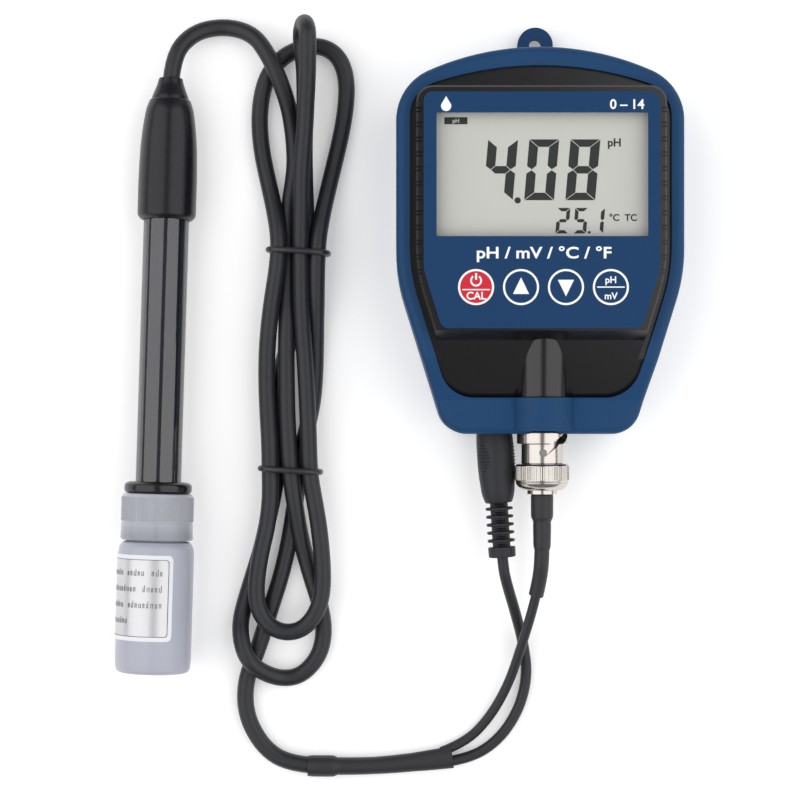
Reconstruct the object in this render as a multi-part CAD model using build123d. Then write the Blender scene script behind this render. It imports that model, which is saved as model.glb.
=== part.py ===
from build123d import *
import math
import os

# A handheld pH, mV and temperature meter in a rubber boot, its pH electrode in a storage
# bottle, and the cord that joins them. Millimetres. The origin is the middle of the meter's
# back, on the surface that everything lies on. +X is right, +Y is towards the hanging loop
# and +Z comes out of the display.

# ---- Meter, outer form ----
meter_half_width = 37.0
meter_top = 49.1
meter_bottom = -50.4
foot_half_width = 24.3
flank_taper = 0.311
top_arc_radius = 71.0
shoulder_radius = 14.0
knee_radius = 45.0
foot_radius = 7.5

# ---- Walls and clearances ----
back_thickness = 2.5
boot_wall = 2.5
case_wall = 2.0
hand_fit = 0.1
loose_fit = 0.3

# ---- Meter, heights: the cells' room, then each level above the one before ----
cell_radius = 5.25
door_thickness = 2.0
cell_play = 0.25
bay_roof_gap = 0.15
bay_roof = 1.6
cell_centre_z = back_thickness + door_thickness + cell_play + cell_radius
bay_roof_z = cell_centre_z + cell_radius + bay_roof_gap
parting_z = bay_roof_z + bay_roof
front_depth = 9.0
case_rim_z = parting_z + front_depth
boot_lip_rise = 1.6
boot_rim_z = case_rim_z + boot_lip_rise
platform_rise = 5.8
platform_z = case_rim_z + platform_rise
film_thickness = 0.5
film_top_z = platform_z + film_thickness

# ---- Boot ----
rim_side = 3.5
rim_top_margin = 5.0
rim_bottom_margin = 9.4
rim_top = meter_top - rim_top_margin
rim_bottom = meter_bottom + rim_bottom_margin
rim_arc_radius = 85.0
rim_corner = 9.0
boot_edge_radius = 2.2
boot_lip_cover = 1.5
loop_reach = 3.8
loop_y = meter_top + loop_reach
loop_radius = 4.7
loop_hole_radius = 1.6
loop_z = 1.0
loop_thickness = 3.0

# ---- Front of the case ----
film_inset = 7.0
film_top_margin = 12.4
film_top = meter_top - film_top_margin
film_bottom = -23.4
film_corner = 2.3
platform_inset = 5.1
platform_border = 1.7
platform_top = film_top + platform_border
platform_end = film_bottom - 0.5
bevel_end_y = -26.3
bevel_drop = 3.8
bevel_end_z = platform_z - bevel_drop
slope_end_y = -41.6
slope_drop = 10.2
slope_end_z = platform_z - slope_drop
toe_drop = 10.5
toe_z = platform_z - toe_drop
rib_pitch = 3.74
rib_pairs = 13
rib_gap = 0.9
rib_slot = 0.45
rib_depth = 1.0
rib_strip = 1.5
rib_top_margin = 6.3
rib_first_y = platform_top - rib_top_margin

# ---- Hump over the probe socket ----
hump_start_y = -25.6
hump_sink = 3.2
hump_top_z = platform_z - hump_sink
hump_drop = 3.0

# ---- Window and display ----
window_left = -26.7
window_right = 27.0
window_bottom = 0.0
window_top = 31.4
lens_margin = 1.4
lens_thickness = 1.2
glass_margin_x = 1.9
glass_margin_y = 1.5
glass_thickness = 2.2
glass_sink = 2.4
glass_top_z = platform_z - glass_sink
frame_wall = 0.6
frame_rail = 1.2
zebra_width = 1.6

# ---- Keys ----
key_y = -12.95
key_pitch = 11.4
key_first_x = -16.7
key_radius = 4.6
key_gap = 0.12
key_stem_radius = 2.5
key_travel = 0.4
dome_radius = 4.0
dome_height = 0.6
dome_sheet = 0.15

# ---- Circuit board ----
board_sink = 7.8
board_top_z = platform_z - board_sink
board_thickness = 1.6
board_bottom_z = board_top_z - board_thickness
board_inset = 7.9
board_top_y = 32.6
board_bottom_y = -27.6
board_screw_radius = 1.0
board_screw_length = 6.0
post_radius = 2.1
board_boss_gap = 1.2
board_screw_spots = [(-27.0, -5.6), (27.0, -5.6), (-19.6, -22.0), (20.4, -22.0)]

# ---- Battery bay and door ----
cell_length = 44.5
cell_gap = 0.5
cell_pitch = 2 * cell_radius + cell_gap
cell_count = 3
bay_middle_y = 14.0
bay_end_space = 3.1
bay_wall = 2.4
door_border = 1.0
door_window_margin = 2.4
hinge_pin_radius = 0.8
hinge_tail = 1.35
lead_radius = 0.6

# ---- Case screws ----
screw_radius = 1.3
screw_head_radius = 2.3
screw_head_height = 1.8
screw_seat = 2.6
screw_into_front = 2.5
upper_boss_inset = 9.5
upper_boss_x = meter_half_width - upper_boss_inset
upper_boss_margin = 6.34
top_arc_fall = top_arc_radius - math.sqrt(top_arc_radius**2 - upper_boss_x**2)
upper_boss_y = meter_top - top_arc_fall - upper_boss_margin
lower_boss_inset = 4.8
lower_boss_x = foot_half_width - lower_boss_inset
lower_boss_margin = 12.4
lower_boss_y = meter_bottom + lower_boss_margin
boss_radius = 3.4

# ---- Probe socket and its plug, a bayonet connector ----
socket_x = 1.1
socket_z = 15.5
wall_out = meter_bottom + boot_wall
wall_in = wall_out + case_wall
barrel_radius = 4.83
barrel_wall = 0.78
barrel_bore = barrel_radius - barrel_wall
barrel_reach = 9.9
barrel_mouth_y = meter_bottom - barrel_reach
nut_thickness = 1.1
nut_rim = 1.07
flange_rim = 0.77
lug_radius = 0.95
lug_height = 0.67
lug_tip = barrel_radius + lug_height
lug_setback = 5.0
lug_y = barrel_mouth_y + lug_setback
insulator_radius = 2.6
insulator_nose_radius = 2.2
socket_floor_y = barrel_mouth_y + 10.8
boss_tip_y = barrel_mouth_y + 4.3
contact_radius = 1.1
contact_bore = 0.75
socket_tail_y = wall_in + 1.5
contact_tail_y = socket_tail_y + 1.0
ring_fit = 0.17
ring_bore = barrel_radius + ring_fit
ring_front_y = barrel_mouth_y + 10.7
collar_wall = 1.6
collar_radius = ring_bore + collar_wall
collar_length = 3.5
collar_end_y = ring_front_y - collar_length
waist_wall = 0.45
waist_radius = ring_bore + waist_wall
knurl_wall = 2.1
knurl_radius = ring_bore + knurl_wall
hump_radius = knurl_radius
knurl_start_y = ring_front_y - 9.0
knurl_length = 4.1
knurl_end_y = knurl_start_y - knurl_length
ring_tail_radius = knurl_radius - 1.3
ring_end_y = knurl_end_y - 2.4
bayonet_turn = 90.0
bayonet_lead = 6.1
plug_fit = 0.1
plug_nut_radius = barrel_bore - plug_fit
plug_nose_wall = 0.65
plug_bore = plug_nut_radius - plug_nose_wall
plug_tip_y = socket_floor_y - 1.1
plug_wall_y = barrel_mouth_y - 0.2
gasket_thickness = 0.7
gasket_y = barrel_mouth_y - gasket_thickness
shoulder_plug = ring_bore - hand_fit
shoulder_end_y = ring_end_y + 1.1
plug_end_y = ring_end_y - 1.0
insulator_face_y = barrel_mouth_y + 2.3
plug_pin_radius = 0.68
sleeve_length = 14.6
sleeve_end_y = plug_end_y - sleeve_length
sleeve_wide_length = 6.9
sleeve_step_y = plug_end_y - sleeve_wide_length
sleeve_wide_radius = 2.95
sleeve_narrow_radius = 2.1
boot_hole_gap = 0.3
boot_socket_hole = knurl_radius + boot_hole_gap

# ---- Temperature jack and its moulded plug ----
plug_radius = 4.6
plug_grip_radius = 4.9
connector_gap = 0.5
jack_x = socket_x - knurl_radius - plug_grip_radius - connector_gap
jack_z = 12.2
pin_radius = 1.75
jack_bore = pin_radius + 0.15
jack_radius = 4.3
jack_depth = 12.0
pin_length = 14.0
plug_lean = 3.8
plug_face_gap = 0.5
plug_face_y = wall_out - plug_face_gap
plug_tail_radius = 3.5
plug_length = 20.3
relief_core_radius = 2.35
relief_fin_radius = 3.65
relief_fin_count = 5
relief_fin_pitch = 2.1
relief_fin_thickness = 0.9
relief_length = 14.4
relief_block_length = 2.9
boot_jack_gap = 0.9
boot_jack_hole = plug_grip_radius + boot_jack_gap

# ---- Electrode ----
probe_top_x = -96.7
probe_top_y = 43.7
probe_yaw = 1.63
relief_top_radius = 3.2
relief_base_radius = 4.9
probe_relief_length = 5.8
handle_length = 38.0
handle_top_radius = 5.4
tube_radius = 6.0
tube_wall = 0.9
handle_wall = 1.75
handle_radius = tube_radius + handle_wall
handle_wide_at = 27.0
handle_round = 1.6
tube_start = 32.0
tube_end = 147.7
stem_radius = 2.9
stem_wall = 0.6
bulb_radius = 3.4
wire_radius = 0.4
sensor_radius = 0.9
sensor_gap = 0.2
sensor_offset = stem_radius + sensor_radius + sensor_gap

# ---- Storage bottle ----
seal_start = 106.9
seal_flange = 3.1
seal_wall = 1.2
seal_neck_radius = tube_radius + seal_wall
seal_rim = 1.7
seal_radius = seal_neck_radius + seal_rim
seal_skirt = 1.4
cap_length = 12.3
cap_wall = 1.0
cap_top = 1.6
cap_start = seal_start + seal_flange
cap_end = cap_start + cap_length
seal_end = cap_start + cap_top + seal_skirt
neck_step = 0.7
neck_radius = seal_neck_radius + neck_step
neck_wall = 1.0
thread_room = 0.65
cap_radius = neck_radius + thread_room + cap_wall
bottle_gap = 0.3
bottle_start = cap_end + bottle_gap
bottle_length = 34.5
bottle_end = bottle_start + bottle_length
shoulder_width = 2.1
bottle_radius = neck_radius + shoulder_width
bottle_wall = 1.0
bottle_round = 3.0
seal_fit = 0.05
label_margin = 3.3
label_start = bottle_start + label_margin
label_height = 22.4
label_end = label_start + label_height
label_wrap = 250.0
label_edge_angle = 33.0
label_thickness = 0.12

# ---- Cord ----
cord_diameter = 4.5
ph_branch_diameter = 2.6
temp_branch_diameter = 2.9
hank_height = 9.4
upper_tie = (-63.0, -2.4)
lower_tie = (-65.1, -60.2)
tie_half_width = 7.4
tie_width = 1.5
tie_proud = 0.5
waist_left = (-73.6, -32.0)
waist_right = (-56.2, -24.0)
upper_loop = (-61.9, 41.3)
upper_loop_radius = 13.9
lower_loop = (-67.4, -104.8)
lower_loop_radius = 13.4
fold_x = (-64.4, -57.6)
fold_top = (59.4, 21.9)

hank_low = 0.05
sleeve_main_x = -60.6
sleeve_neck_x = -54.7
sleeve_branch_x = -22.0
sleeve_y = -139.2
sleeve_end = (-137.0, 2.15)

far = 200.0


def plan(inset, top, bottom, arc, shoulder, foot, knee=knee_radius):
    """The meter's outline, drawn in by a margin at the sides and ending at top and bottom."""
    flank_inset = inset * math.hypot(1, flank_taper)
    side_x = meter_half_width - inset
    foot_x = foot_half_width + flank_taper * (bottom - meter_bottom) - flank_inset
    knee_y = bottom + (side_x - foot_x) / flank_taper
    corner_y = top
    if arc:
        corner_y = top - arc + math.sqrt(arc**2 - side_x**2)
    sides = [
        Line((-foot_x, bottom), (foot_x, bottom)),
        Line((foot_x, bottom), (side_x, knee_y)),
        Line((side_x, knee_y), (side_x, corner_y)),
        Line((-side_x, corner_y), (-side_x, knee_y)),
        Line((-side_x, knee_y), (-foot_x, bottom)),
    ]
    if arc:
        sides.append(ThreePointArc((side_x, corner_y), (0, top), (-side_x, corner_y)))
    else:
        sides.append(Line((side_x, corner_y), (-side_x, corner_y)))
    face = make_face(sides)
    for y, radius in ((corner_y, shoulder), (bottom, foot), (knee_y, knee)):
        corners = [v for v in face.vertices() if abs(v.Y - y) < 0.01 and abs(v.X) > 5]
        face = fillet(corners, radius)
    return face


def slab(face, low, high):
    """A flat face stretched from one height to another."""
    return Pos(0, 0, low) * extrude(face, high - low)


def block(x0, x1, y0, y1, z0, z1):
    """A box between two corners."""
    return Pos((x0 + x1) / 2, (y0 + y1) / 2, (z0 + z1) / 2) * Box(x1 - x0, y1 - y0, z1 - z0)


def rod_z(x, y, z0, z1, radius):
    """A round bar standing along Z."""
    return Pos(x, y, (z0 + z1) / 2) * Cylinder(radius, z1 - z0)


def rod_y(x, z, y0, y1, radius):
    """A round bar lying along Y."""
    return Pos(x, (y0 + y1) / 2, z) * Rot(90, 0, 0) * Cylinder(radius, abs(y1 - y0))


def turned(profile, place):
    """A turned piece from (distance along the axis, radius) points, on a placed Z axis."""
    points = [(radius, along) for along, radius in profile]
    face = Plane.XZ * make_face(Polyline(*points, close=True))
    return place * revolve(face, Axis.Z)


def pipe(points, diameter, bend=1.5):
    """A thin wire through points, with the same bend at each corner."""
    path = FilletPolyline(*points, radius=bend)
    return sweep(Plane(origin=path @ 0, z_dir=path % 0) * Circle(diameter / 2), path=path)


def cord_tube(name, points, diameter):
    """A cord along its route, each corner as round as its two runs allow."""
    runs = [Vector(*b) - Vector(*a) for a, b in zip(points, points[1:])]
    radii = []
    for before, after in zip(runs, runs[1:]):
        turn = math.radians(before.get_angle(after))
        radii.append(0.45 * min(before.length, after.length) / math.tan(turn / 2))
    path = FilletPolyline(*points, radius=radii)
    tube = sweep(Plane(origin=path @ 0, z_dir=path % 0) * Circle(diameter / 2), path=path)
    ratio = tube.volume / (path.length * math.pi * diameter**2 / 4)
    print(name, "radii", [round(radius, 1) for radius in radii])
    print(name, "length", round(path.length, 1), "volume ratio", round(ratio, 4))
    return tube


def save(name, shape):
    """Write one sub-part to its own file."""
    if isinstance(shape, (list, tuple)):
        shape = Compound(children=[solid for item in shape for solid in item.solids()])
    export_step(shape, f"parts/{name}.step")


# ---- Shared forms of the case ----

def case_plan(extra=0.0):
    """The case's outline, or that outline drawn in by a wall."""
    inset = boot_wall + extra
    return plan(
        inset, meter_top - inset, meter_bottom + inset, top_arc_radius - inset,
        shoulder_radius - inset, foot_radius - inset,
    )


def platform_plan(extra=0.0):
    """The raised platform's outline, or that outline drawn in by a wall."""
    corner = film_corner + film_inset - platform_inset
    return plan(
        platform_inset + extra, platform_top - extra, platform_end - 12, None,
        corner, 1.0,
    )


def above_slope(lift=0.0):
    """What lies above the sloping toe of the case, the slope raised by lift."""
    profile = Plane.YZ * make_face(Polyline(
        (platform_end, platform_z + 0.01 + lift),
        (bevel_end_y, bevel_end_z + lift),
        (slope_end_y, slope_end_z + lift),
        (meter_bottom, toe_z + lift),
        (meter_bottom - 20, toe_z + lift),
        (meter_bottom - 20, platform_z + 20),
        (platform_end, platform_z + 20),
        close=True,
    ))
    return extrude(profile, far, both=True)


def hump(radius, end_y):
    """The round rise over the probe socket, from the platform to an end wall."""
    middle_z = hump_top_z - hump_radius
    length = hump_start_y - end_y
    angle = math.degrees(math.atan2(hump_drop, hump_start_y - meter_bottom))
    bar = Pos(socket_x, hump_start_y, middle_z) * Rot(90 + angle, 0, 0) * Cylinder(
        radius, 2.2 * length
    )
    return bar & block(-far, far, end_y, bevel_end_y + 3, parting_z, far)


def envelope():
    """The case's outside without the platform: what the boot closes on."""
    body = slab(case_plan(), back_thickness, case_rim_z) - above_slope()
    return body + hump(hump_radius, meter_bottom + boot_wall)


def case_hollow():
    """The room inside both halves of the case."""
    floor = back_thickness + case_wall
    low = slab(case_plan(case_wall), floor, case_rim_z - case_wall) - above_slope(-case_wall)
    high = slab(platform_plan(case_wall), parting_z, platform_z - case_wall)
    high = high - above_slope(-case_wall - 0.4)
    return low + high + hump(hump_radius - case_wall, meter_bottom + boot_wall + case_wall)


def boss_places():
    """The four case screws."""
    upper = [(side * upper_boss_x, upper_boss_y) for side in (-1, 1)]
    return upper + [(side * lower_boss_x, lower_boss_y) for side in (-1, 1)]


def board_screw_places():
    """The four board screws' places."""
    return board_screw_spots


def key_places():
    """The four keys' middles, left to right."""
    return [(key_first_x + index * key_pitch, key_y) for index in range(4)]


# ---- Boot and hanging loop ----

def make_boot():
    """The rubber boot: back, walls, front lip, door window, plug holes and loop."""
    outer = plan(
        0, meter_top, meter_bottom, top_arc_radius, shoulder_radius, foot_radius
    )
    body = slab(outer, 0, boot_rim_z) - above_slope(boot_lip_cover)
    rim = [
        edge for edge in body.edges()
        if edge.bounding_box().min.Z > toe_z and edge.bounding_box().size.X < 1.9 * foot_half_width
    ]
    body = fillet(rim, boot_edge_radius)
    back = body.faces().sort_by(Axis.Z)[0]
    body = fillet(back.edges(), boot_edge_radius / 2)
    rise = hump(hump_radius + boot_lip_cover, meter_bottom + 0.8)
    body = body + (rise & slab(outer, parting_z, boot_rim_z + 2))
    body = body - envelope()
    opening = plan(rim_side, rim_top, rim_bottom, rim_arc_radius, rim_corner, rim_corner)
    body = body - slab(opening, parting_z, platform_z)
    body = body - slab(platform_plan(), parting_z, far)
    left, right, bottom, top = door_edges()
    margin = door_window_margin
    door_window = block(
        left - margin, right + margin, bottom - margin, top + margin, -1, back_thickness
    )
    body = body - door_window
    end = meter_bottom + boot_wall + 0.5
    body = body - rod_y(socket_x, socket_z, end, meter_bottom - 9, boot_socket_hole)
    body = body - rod_y(jack_x, jack_z, end, meter_bottom - 9, boot_jack_hole)
    tab = Pos(0, loop_y) * Circle(loop_radius)
    tab = tab + Pos(0, (loop_y + meter_top) / 2 - 1) * Rectangle(
        2 * loop_radius, loop_y - meter_top + 2
    )
    tab = slab(tab, loop_z, loop_z + loop_thickness) - envelope()
    body = body + tab
    return body - rod_z(0, loop_y, -1, boot_rim_z, loop_hole_radius)


# ---- Case ----

def rib_slots():
    """The pairs of cross slots down both edges of the platform."""
    slots = []
    outer_x = meter_half_width - platform_inset
    for side in (-1, 1):
        for index in range(rib_pairs):
            for step in (-rib_gap / 2, rib_gap / 2):
                y = rib_first_y - index * rib_pitch + step
                slots.append(block(
                    side * outer_x - rib_strip, side * outer_x + rib_strip,
                    y - rib_slot / 2, y + rib_slot / 2, platform_z - rib_depth, far,
                ))
    return slots


def make_front_case():
    """The front half: platform, sloping toe, hump, window, key wells and posts."""
    platform = slab(platform_plan(), parting_z, platform_z)
    edges = [e for e in platform.edges() if e.bounding_box().min.Z > platform_z - 0.01]
    platform = chamfer(edges, 0.5) - above_slope()
    body = envelope() + (platform & slab(case_plan(), parting_z, far))
    body = body - block(-far, far, -far, far, -1, parting_z) - case_hollow()
    ceiling = platform_z - case_wall
    for x, y in boss_places():
        top = ceiling if y > 0 else toe_z - 1
        post = rod_z(x, y, parting_z, top, boss_radius) & envelope()
        body = body + post
    for x, y in board_screw_places():
        body = body + rod_z(x, y, board_top_z, ceiling, post_radius)
    for x, y in boss_places():
        body = body - rod_z(x, y, parting_z - 1, screw_tip_z(), screw_radius)
    for x, y in board_screw_places():
        tip = board_bottom_z + board_screw_length
        body = body - rod_z(x, y, board_top_z - 1, tip, board_screw_radius)
    for x, y in key_places():
        well = film_thickness + hand_fit
        body = body - rod_z(x, y, platform_z - well, far, key_radius + key_gap + 0.05)
        body = body - rod_z(x, y, ceiling - 1, far, key_stem_radius + hand_fit)
    sight = loose_fit
    body = body - block(
        window_left - sight, window_right + sight, window_bottom - sight, window_top + sight,
        ceiling - 1, far,
    )
    body = body - lens_block(hand_fit, far)
    body = body - connector_holes()
    return body - rib_slots()


def screw_tip_z():
    """The height that the case screws reach."""
    return parting_z + screw_into_front


def screw_seat_z():
    """The height of the shoulder that the case screws' heads pull on."""
    return back_thickness + case_wall + screw_seat


def connector_holes():
    """The holes for the probe socket and the temperature jack in the end wall."""
    end = meter_bottom + boot_wall
    holes = rod_y(socket_x, socket_z, end - 1, end + case_wall + 0.5, barrel_radius)
    return holes + rod_y(jack_x, jack_z, end - 1, end + case_wall + 0.5, jack_radius)


def bay_limits():
    """The battery bay's inside: left, right, bottom, top."""
    half = cell_length / 2 + bay_end_space
    across = cell_count * cell_pitch / 2 + 0.2
    return -half, half, bay_middle_y - across, bay_middle_y + across


def door_edges():
    """The battery door's outline: left, right, bottom, top."""
    left, right, bottom, top = bay_limits()
    return left - door_border, right + door_border, bottom - door_border, top + door_border


def make_rear_case():
    """The rear half: screw posts, battery bay, door opening and hinge eyes."""
    body = envelope() & block(-far, far, -far, far, -1, parting_z)
    body = body - case_hollow()
    floor = back_thickness + case_wall
    for x, y in boss_places():
        body = body + (rod_z(x, y, floor - 0.5, parting_z, boss_radius) & envelope())
    left, right, bottom, top = bay_limits()
    walls = block(left - bay_wall, right + bay_wall, bottom - bay_wall, top + bay_wall,
                  floor - 0.5, parting_z)
    body = body + (walls & envelope())
    body = body - block(left, right, bottom, top, -1, bay_roof_z)
    for x, y in boss_places():
        body = body - rod_z(x, y, -1, screw_seat_z(), screw_head_radius + 0.15)
        body = body - rod_z(x, y, 0, parting_z + 1, screw_radius)
    edge_left, edge_right, edge_bottom, edge_top = door_edges()
    gap = loose_fit / 2
    body = body - block(
        edge_left - gap, edge_right + gap, edge_bottom - gap, edge_top + gap, -1, floor
    )
    pin_y, pin_z = hinge_line()
    for side in (-1, 1):
        eye = block(
            side * (edge_right + 0.15 + 1.2) - 1.2, side * (edge_right + 0.15 + 1.2) + 1.2,
            pin_y - 1.6, pin_y + 1.6, floor - 0.1, floor + 1.2,
        )
        body = body + (eye & envelope())
        socket = Pos(side * (edge_right + 0.9), pin_y, pin_z) * Rot(0, 90, 0) * Cylinder(
            hinge_pin_radius + 0.05, 2.2
        )
        body = body - socket
    swing = Pos(0, pin_y, pin_z) * Rot(0, 90, 0) * Cylinder(
        hinge_tail + 0.2, edge_right - edge_left + 2 * gap
    )
    body = body - swing
    for end in lead_starts():
        body = body - Pos(end) * Rot(0, 90, 0) * Cylinder(lead_radius + 0.15, 4 * bay_wall)
    return body - connector_holes()


def lead_starts():
    """Where the two battery leads leave the bay, at the first and last contacts."""
    left, right, bottom, top = bay_limits()
    first_y = bay_middle_y - (cell_count - 1) / 2 * cell_pitch
    last_y = bay_middle_y + (cell_count - 1) / 2 * cell_pitch
    z = cell_centre_z - 2.6
    return [(right, first_y, z), (left, last_y, z)]


def hinge_line():
    """The door's hinge line: its place along Y and its height."""
    return door_edges()[2] + 1.3, back_thickness + 1.1


def make_battery_door():
    """The battery door: plate, two pivot pins and a latch tongue."""
    left, right, bottom, top = door_edges()
    plate = block(left, right, bottom, top, back_thickness, back_thickness + door_thickness)
    pin_y, pin_z = hinge_line()
    corner = [
        e for e in plate.edges()
        if e.center().Y < bottom + 0.1 and e.bounding_box().size.X > 10
    ]
    plate = fillet(corner, 0.9)
    pins = Pos(0, pin_y, pin_z) * Rot(0, 90, 0) * Cylinder(
        hinge_pin_radius, right - left + 3.2
    )
    grip = [
        block(-8, 8, top - 4.5 - 1.6 * index, top - 3.9 - 1.6 * index,
              back_thickness - 0.1, back_thickness + 0.4)
        for index in range(4)
    ]
    return plate + pins - grip


def make_case_screws():
    """Four self-tapping screws that pull the case's halves together."""
    screws = []
    for x, y in boss_places():
        seat = screw_seat_z()
        head = rod_z(x, y, seat - screw_head_height, seat, screw_head_radius)
        slot = Pos(x, y, seat - screw_head_height) * (
            Box(2.6, 0.6, 1.6) + Box(0.6, 2.6, 1.6)
        )
        screws.append(head + rod_z(x, y, seat, screw_tip_z(), screw_radius) - slot)
    return screws


# ---- Film, lens and keys ----

def film_plan():
    """The printed film's outline."""
    return plan(film_inset, film_top, film_bottom, None, film_corner, film_corner, 12.0)


def make_overlay():
    """The printed film with its window and key holes."""
    film = slab(film_plan(), platform_z, film_top_z)
    film = film - block(
        window_left, window_right, window_bottom, window_top, platform_z - 1, far
    )
    for x, y in key_places():
        film = film - rod_z(x, y, platform_z - 1, far, key_radius + key_gap)
    return film


def lens_block(gap, top):
    """The window lens, or the recess it sits in."""
    margin = lens_margin + gap
    return block(
        window_left - margin, window_right + margin, window_bottom - margin,
        window_top + margin, platform_z - lens_thickness, top,
    )


def make_key(x, y):
    """A key: its face in the film, and the stem that presses the dome."""
    face = rod_z(x, y, platform_z, film_top_z, key_radius)
    return face + rod_z(x, y, board_top_z + dome_height, platform_z + 0.1, key_stem_radius)


def make_dome(x, y):
    """A snap dome on the board under a key."""
    ball = (dome_radius**2 + dome_height**2) / (2 * dome_height)
    middle_z = board_top_z + dome_height - ball
    shell = Pos(x, y, middle_z) * (Sphere(ball) - Sphere(ball - dome_sheet))
    return shell & rod_z(x, y, board_top_z, far, dome_radius + 1)


# ---- Display and board ----

def glass_edges():
    """The display glass: left, right, bottom, top."""
    return (
        window_left - glass_margin_x, window_right + glass_margin_x,
        window_bottom - glass_margin_y, window_top + glass_margin_y,
    )


def make_lcd_glass():
    """The liquid crystal cell, with its step of bare glass along one edge."""
    left, right, bottom, top = glass_edges()
    low = glass_top_z - glass_thickness
    upper = block(left, right, bottom + 1.0, top, low + glass_thickness / 2, glass_top_z)
    return upper + block(left, right, bottom, top, low, low + glass_thickness / 2)


def make_lcd_frame():
    """The frame that holds the display glass over the board."""
    left, right, bottom, top = glass_edges()
    low = glass_top_z - glass_thickness
    wall = frame_wall
    body = block(left - wall, right + wall, bottom - wall, top + wall, board_top_z,
                 glass_top_z - 0.4)
    body = body - block(left, right, bottom, top, low, far)
    rail = frame_rail + zebra_width
    return body - block(left + 2, right - 2, bottom + rail, top - rail, 0, far) - zebra_bars()


def zebra_bars():
    """The room of the two rubber contact strips, from the board to the glass."""
    left, right, bottom, top = glass_edges()
    low = glass_top_z - glass_thickness
    ends = (bottom + frame_rail, top - frame_rail - zebra_width)
    return [block(left + 2, right - 2, y, y + zebra_width, board_top_z, low) for y in ends]


def make_main_board():
    """The circuit board, with holes for its screws and cut back round the case posts."""
    board = slab(
        plan(board_inset, board_top_y, board_bottom_y, None, 2.0, 2.0),
        board_bottom_z, board_top_z,
    )
    for x, y in board_screw_places():
        board = board - rod_z(x, y, 0, far, board_screw_radius + 0.1)
    for x, y in boss_places():
        board = board - rod_z(x, y, 0, far, boss_radius + board_boss_gap)
    return board


def make_board_chips():
    """The three larger chips on the back of the board."""
    sizes = [
        (-4.0, 10.0, 12.0, 12.0, 1.6), (14.0, 12.0, 6.0, 5.0, 1.5), (-18.0, 8.0, 5.0, 4.0, 1.4),
    ]
    return [
        block(x - w / 2, x + w / 2, y - d / 2, y + d / 2, board_bottom_z - h, board_bottom_z)
        for x, y, w, d, h in sizes
    ]


def make_board_passives():
    """Capacitors, a crystal and resistors on the back of the board."""
    low = board_bottom_z - 3.6
    parts = [rod_z(x, y, low, board_bottom_z, 2.0) for x, y in ((20.0, 22.0), (-20.0, 24.0))]
    parts.append(block(2.0, 10.0, -3.0, 0.0, board_bottom_z - 2.6, board_bottom_z))
    for index in range(8):
        x = -16.0 + 4.4 * index
        parts.append(block(x, x + 1.6, -9.0, -8.2, board_bottom_z - 0.6, board_bottom_z))
    return parts


def make_board_screws():
    """Four small screws that hold the board to the front case."""
    screws = []
    for x, y in board_screw_places():
        head = rod_z(x, y, board_bottom_z - 1.2, board_bottom_z, 1.8)
        tip = board_bottom_z + board_screw_length
        screws.append(head + rod_z(x, y, board_bottom_z, tip, board_screw_radius))
    return screws


# ---- Battery ----

def make_cells():
    """Three cells side by side, each with its contact nub, alternate ways round."""
    cells = []
    for index in range(cell_count):
        way = 1 if index % 2 == 0 else -1
        y = bay_middle_y + (index - (cell_count - 1) / 2) * cell_pitch
        can = Cylinder(cell_radius, cell_length - 1.0)
        nub = Pos(0, 0, cell_length / 2 - 0.5) * Cylinder(1.9, 1.0)
        cells.append(Pos(0, y, cell_centre_z) * Rot(0, 90 * way, 0) * (can + nub))
    return cells


def make_contact_plates():
    """The flat contacts at the cells' nub ends."""
    plates = []
    left, right, bottom, top = bay_limits()
    for index in range(cell_count):
        way = 1 if index % 2 == 0 else -1
        y = bay_middle_y + (index - (cell_count - 1) / 2) * cell_pitch
        x = way * (right - 0.3)
        plate = block(x - 0.3, x + 0.3, y - 3.4, y + 3.4, cell_centre_z - 4, cell_centre_z + 4)
        pad = way * (cell_length / 2 + right - 0.6) / 2
        reach = right - 0.6 - cell_length / 2
        plates.append(plate + block(
            pad - reach / 2, pad + reach / 2, y - 1.4, y + 1.4,
            cell_centre_z - 1.6, cell_centre_z + 1.6,
        ))
    return plates


def make_contact_springs():
    """The leaf springs at the cells' flat ends, each a bent strip."""
    springs = []
    left, right, bottom, top = bay_limits()
    for index in range(cell_count):
        way = -1 if index % 2 == 0 else 1
        y = bay_middle_y + (index - (cell_count - 1) / 2) * cell_pitch
        wall = right
        tip = cell_length / 2 - 0.5
        z = cell_centre_z
        outline = make_face(Polyline(
            (wall, z - 3.8), (wall, z + 4.0), (wall - 0.4, z + 4.0), (tip, z + 0.8),
            (tip, z - 0.8), (tip + 0.4, z - 0.8), (tip + 0.4, z + 0.6), (wall - 0.4, z + 3.3),
            (wall - 0.4, z - 3.8), close=True,
        ))
        leaf = extrude(Plane.XZ * outline, 2.2, both=True)
        turn = Rot(0, 0, 0) if way > 0 else Rot(0, 0, 180)
        springs.append(Pos(0, y, 0) * turn * leaf)
    return springs


def make_battery_lead(start):
    """A battery lead from a contact, out through the bay's wall and up to the board."""
    side = 1 if start[0] > 0 else -1
    x, y, z = start
    out_x = x + side * 3.2
    in_x = x + side * 1.1
    return pipe([
        (x, y, z), (out_x, y, z), (out_x, y, board_bottom_z - 3.2),
        (in_x, y, board_bottom_z - 3.2), (in_x, y, board_bottom_z),
    ], 2 * lead_radius, 0.9)


def make_signal_lead(x, y, z):
    """A lead from a socket's tail up to the board."""
    rise_y = y + 11.0
    return pipe([
        (x, y, z), (x, y + 4.5, z), (x, rise_y, board_bottom_z - 3.0),
        (x, rise_y, board_bottom_z),
    ], 2 * lead_radius, 1.2)


# ---- Probe socket and plug ----

def turned_y(profile, x, z):
    """A turned piece from (place along Y, radius) points."""
    return turned([(-y, radius) for y, radius in profile], Pos(x, 0, z) * Rot(90, 0, 0))


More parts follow.
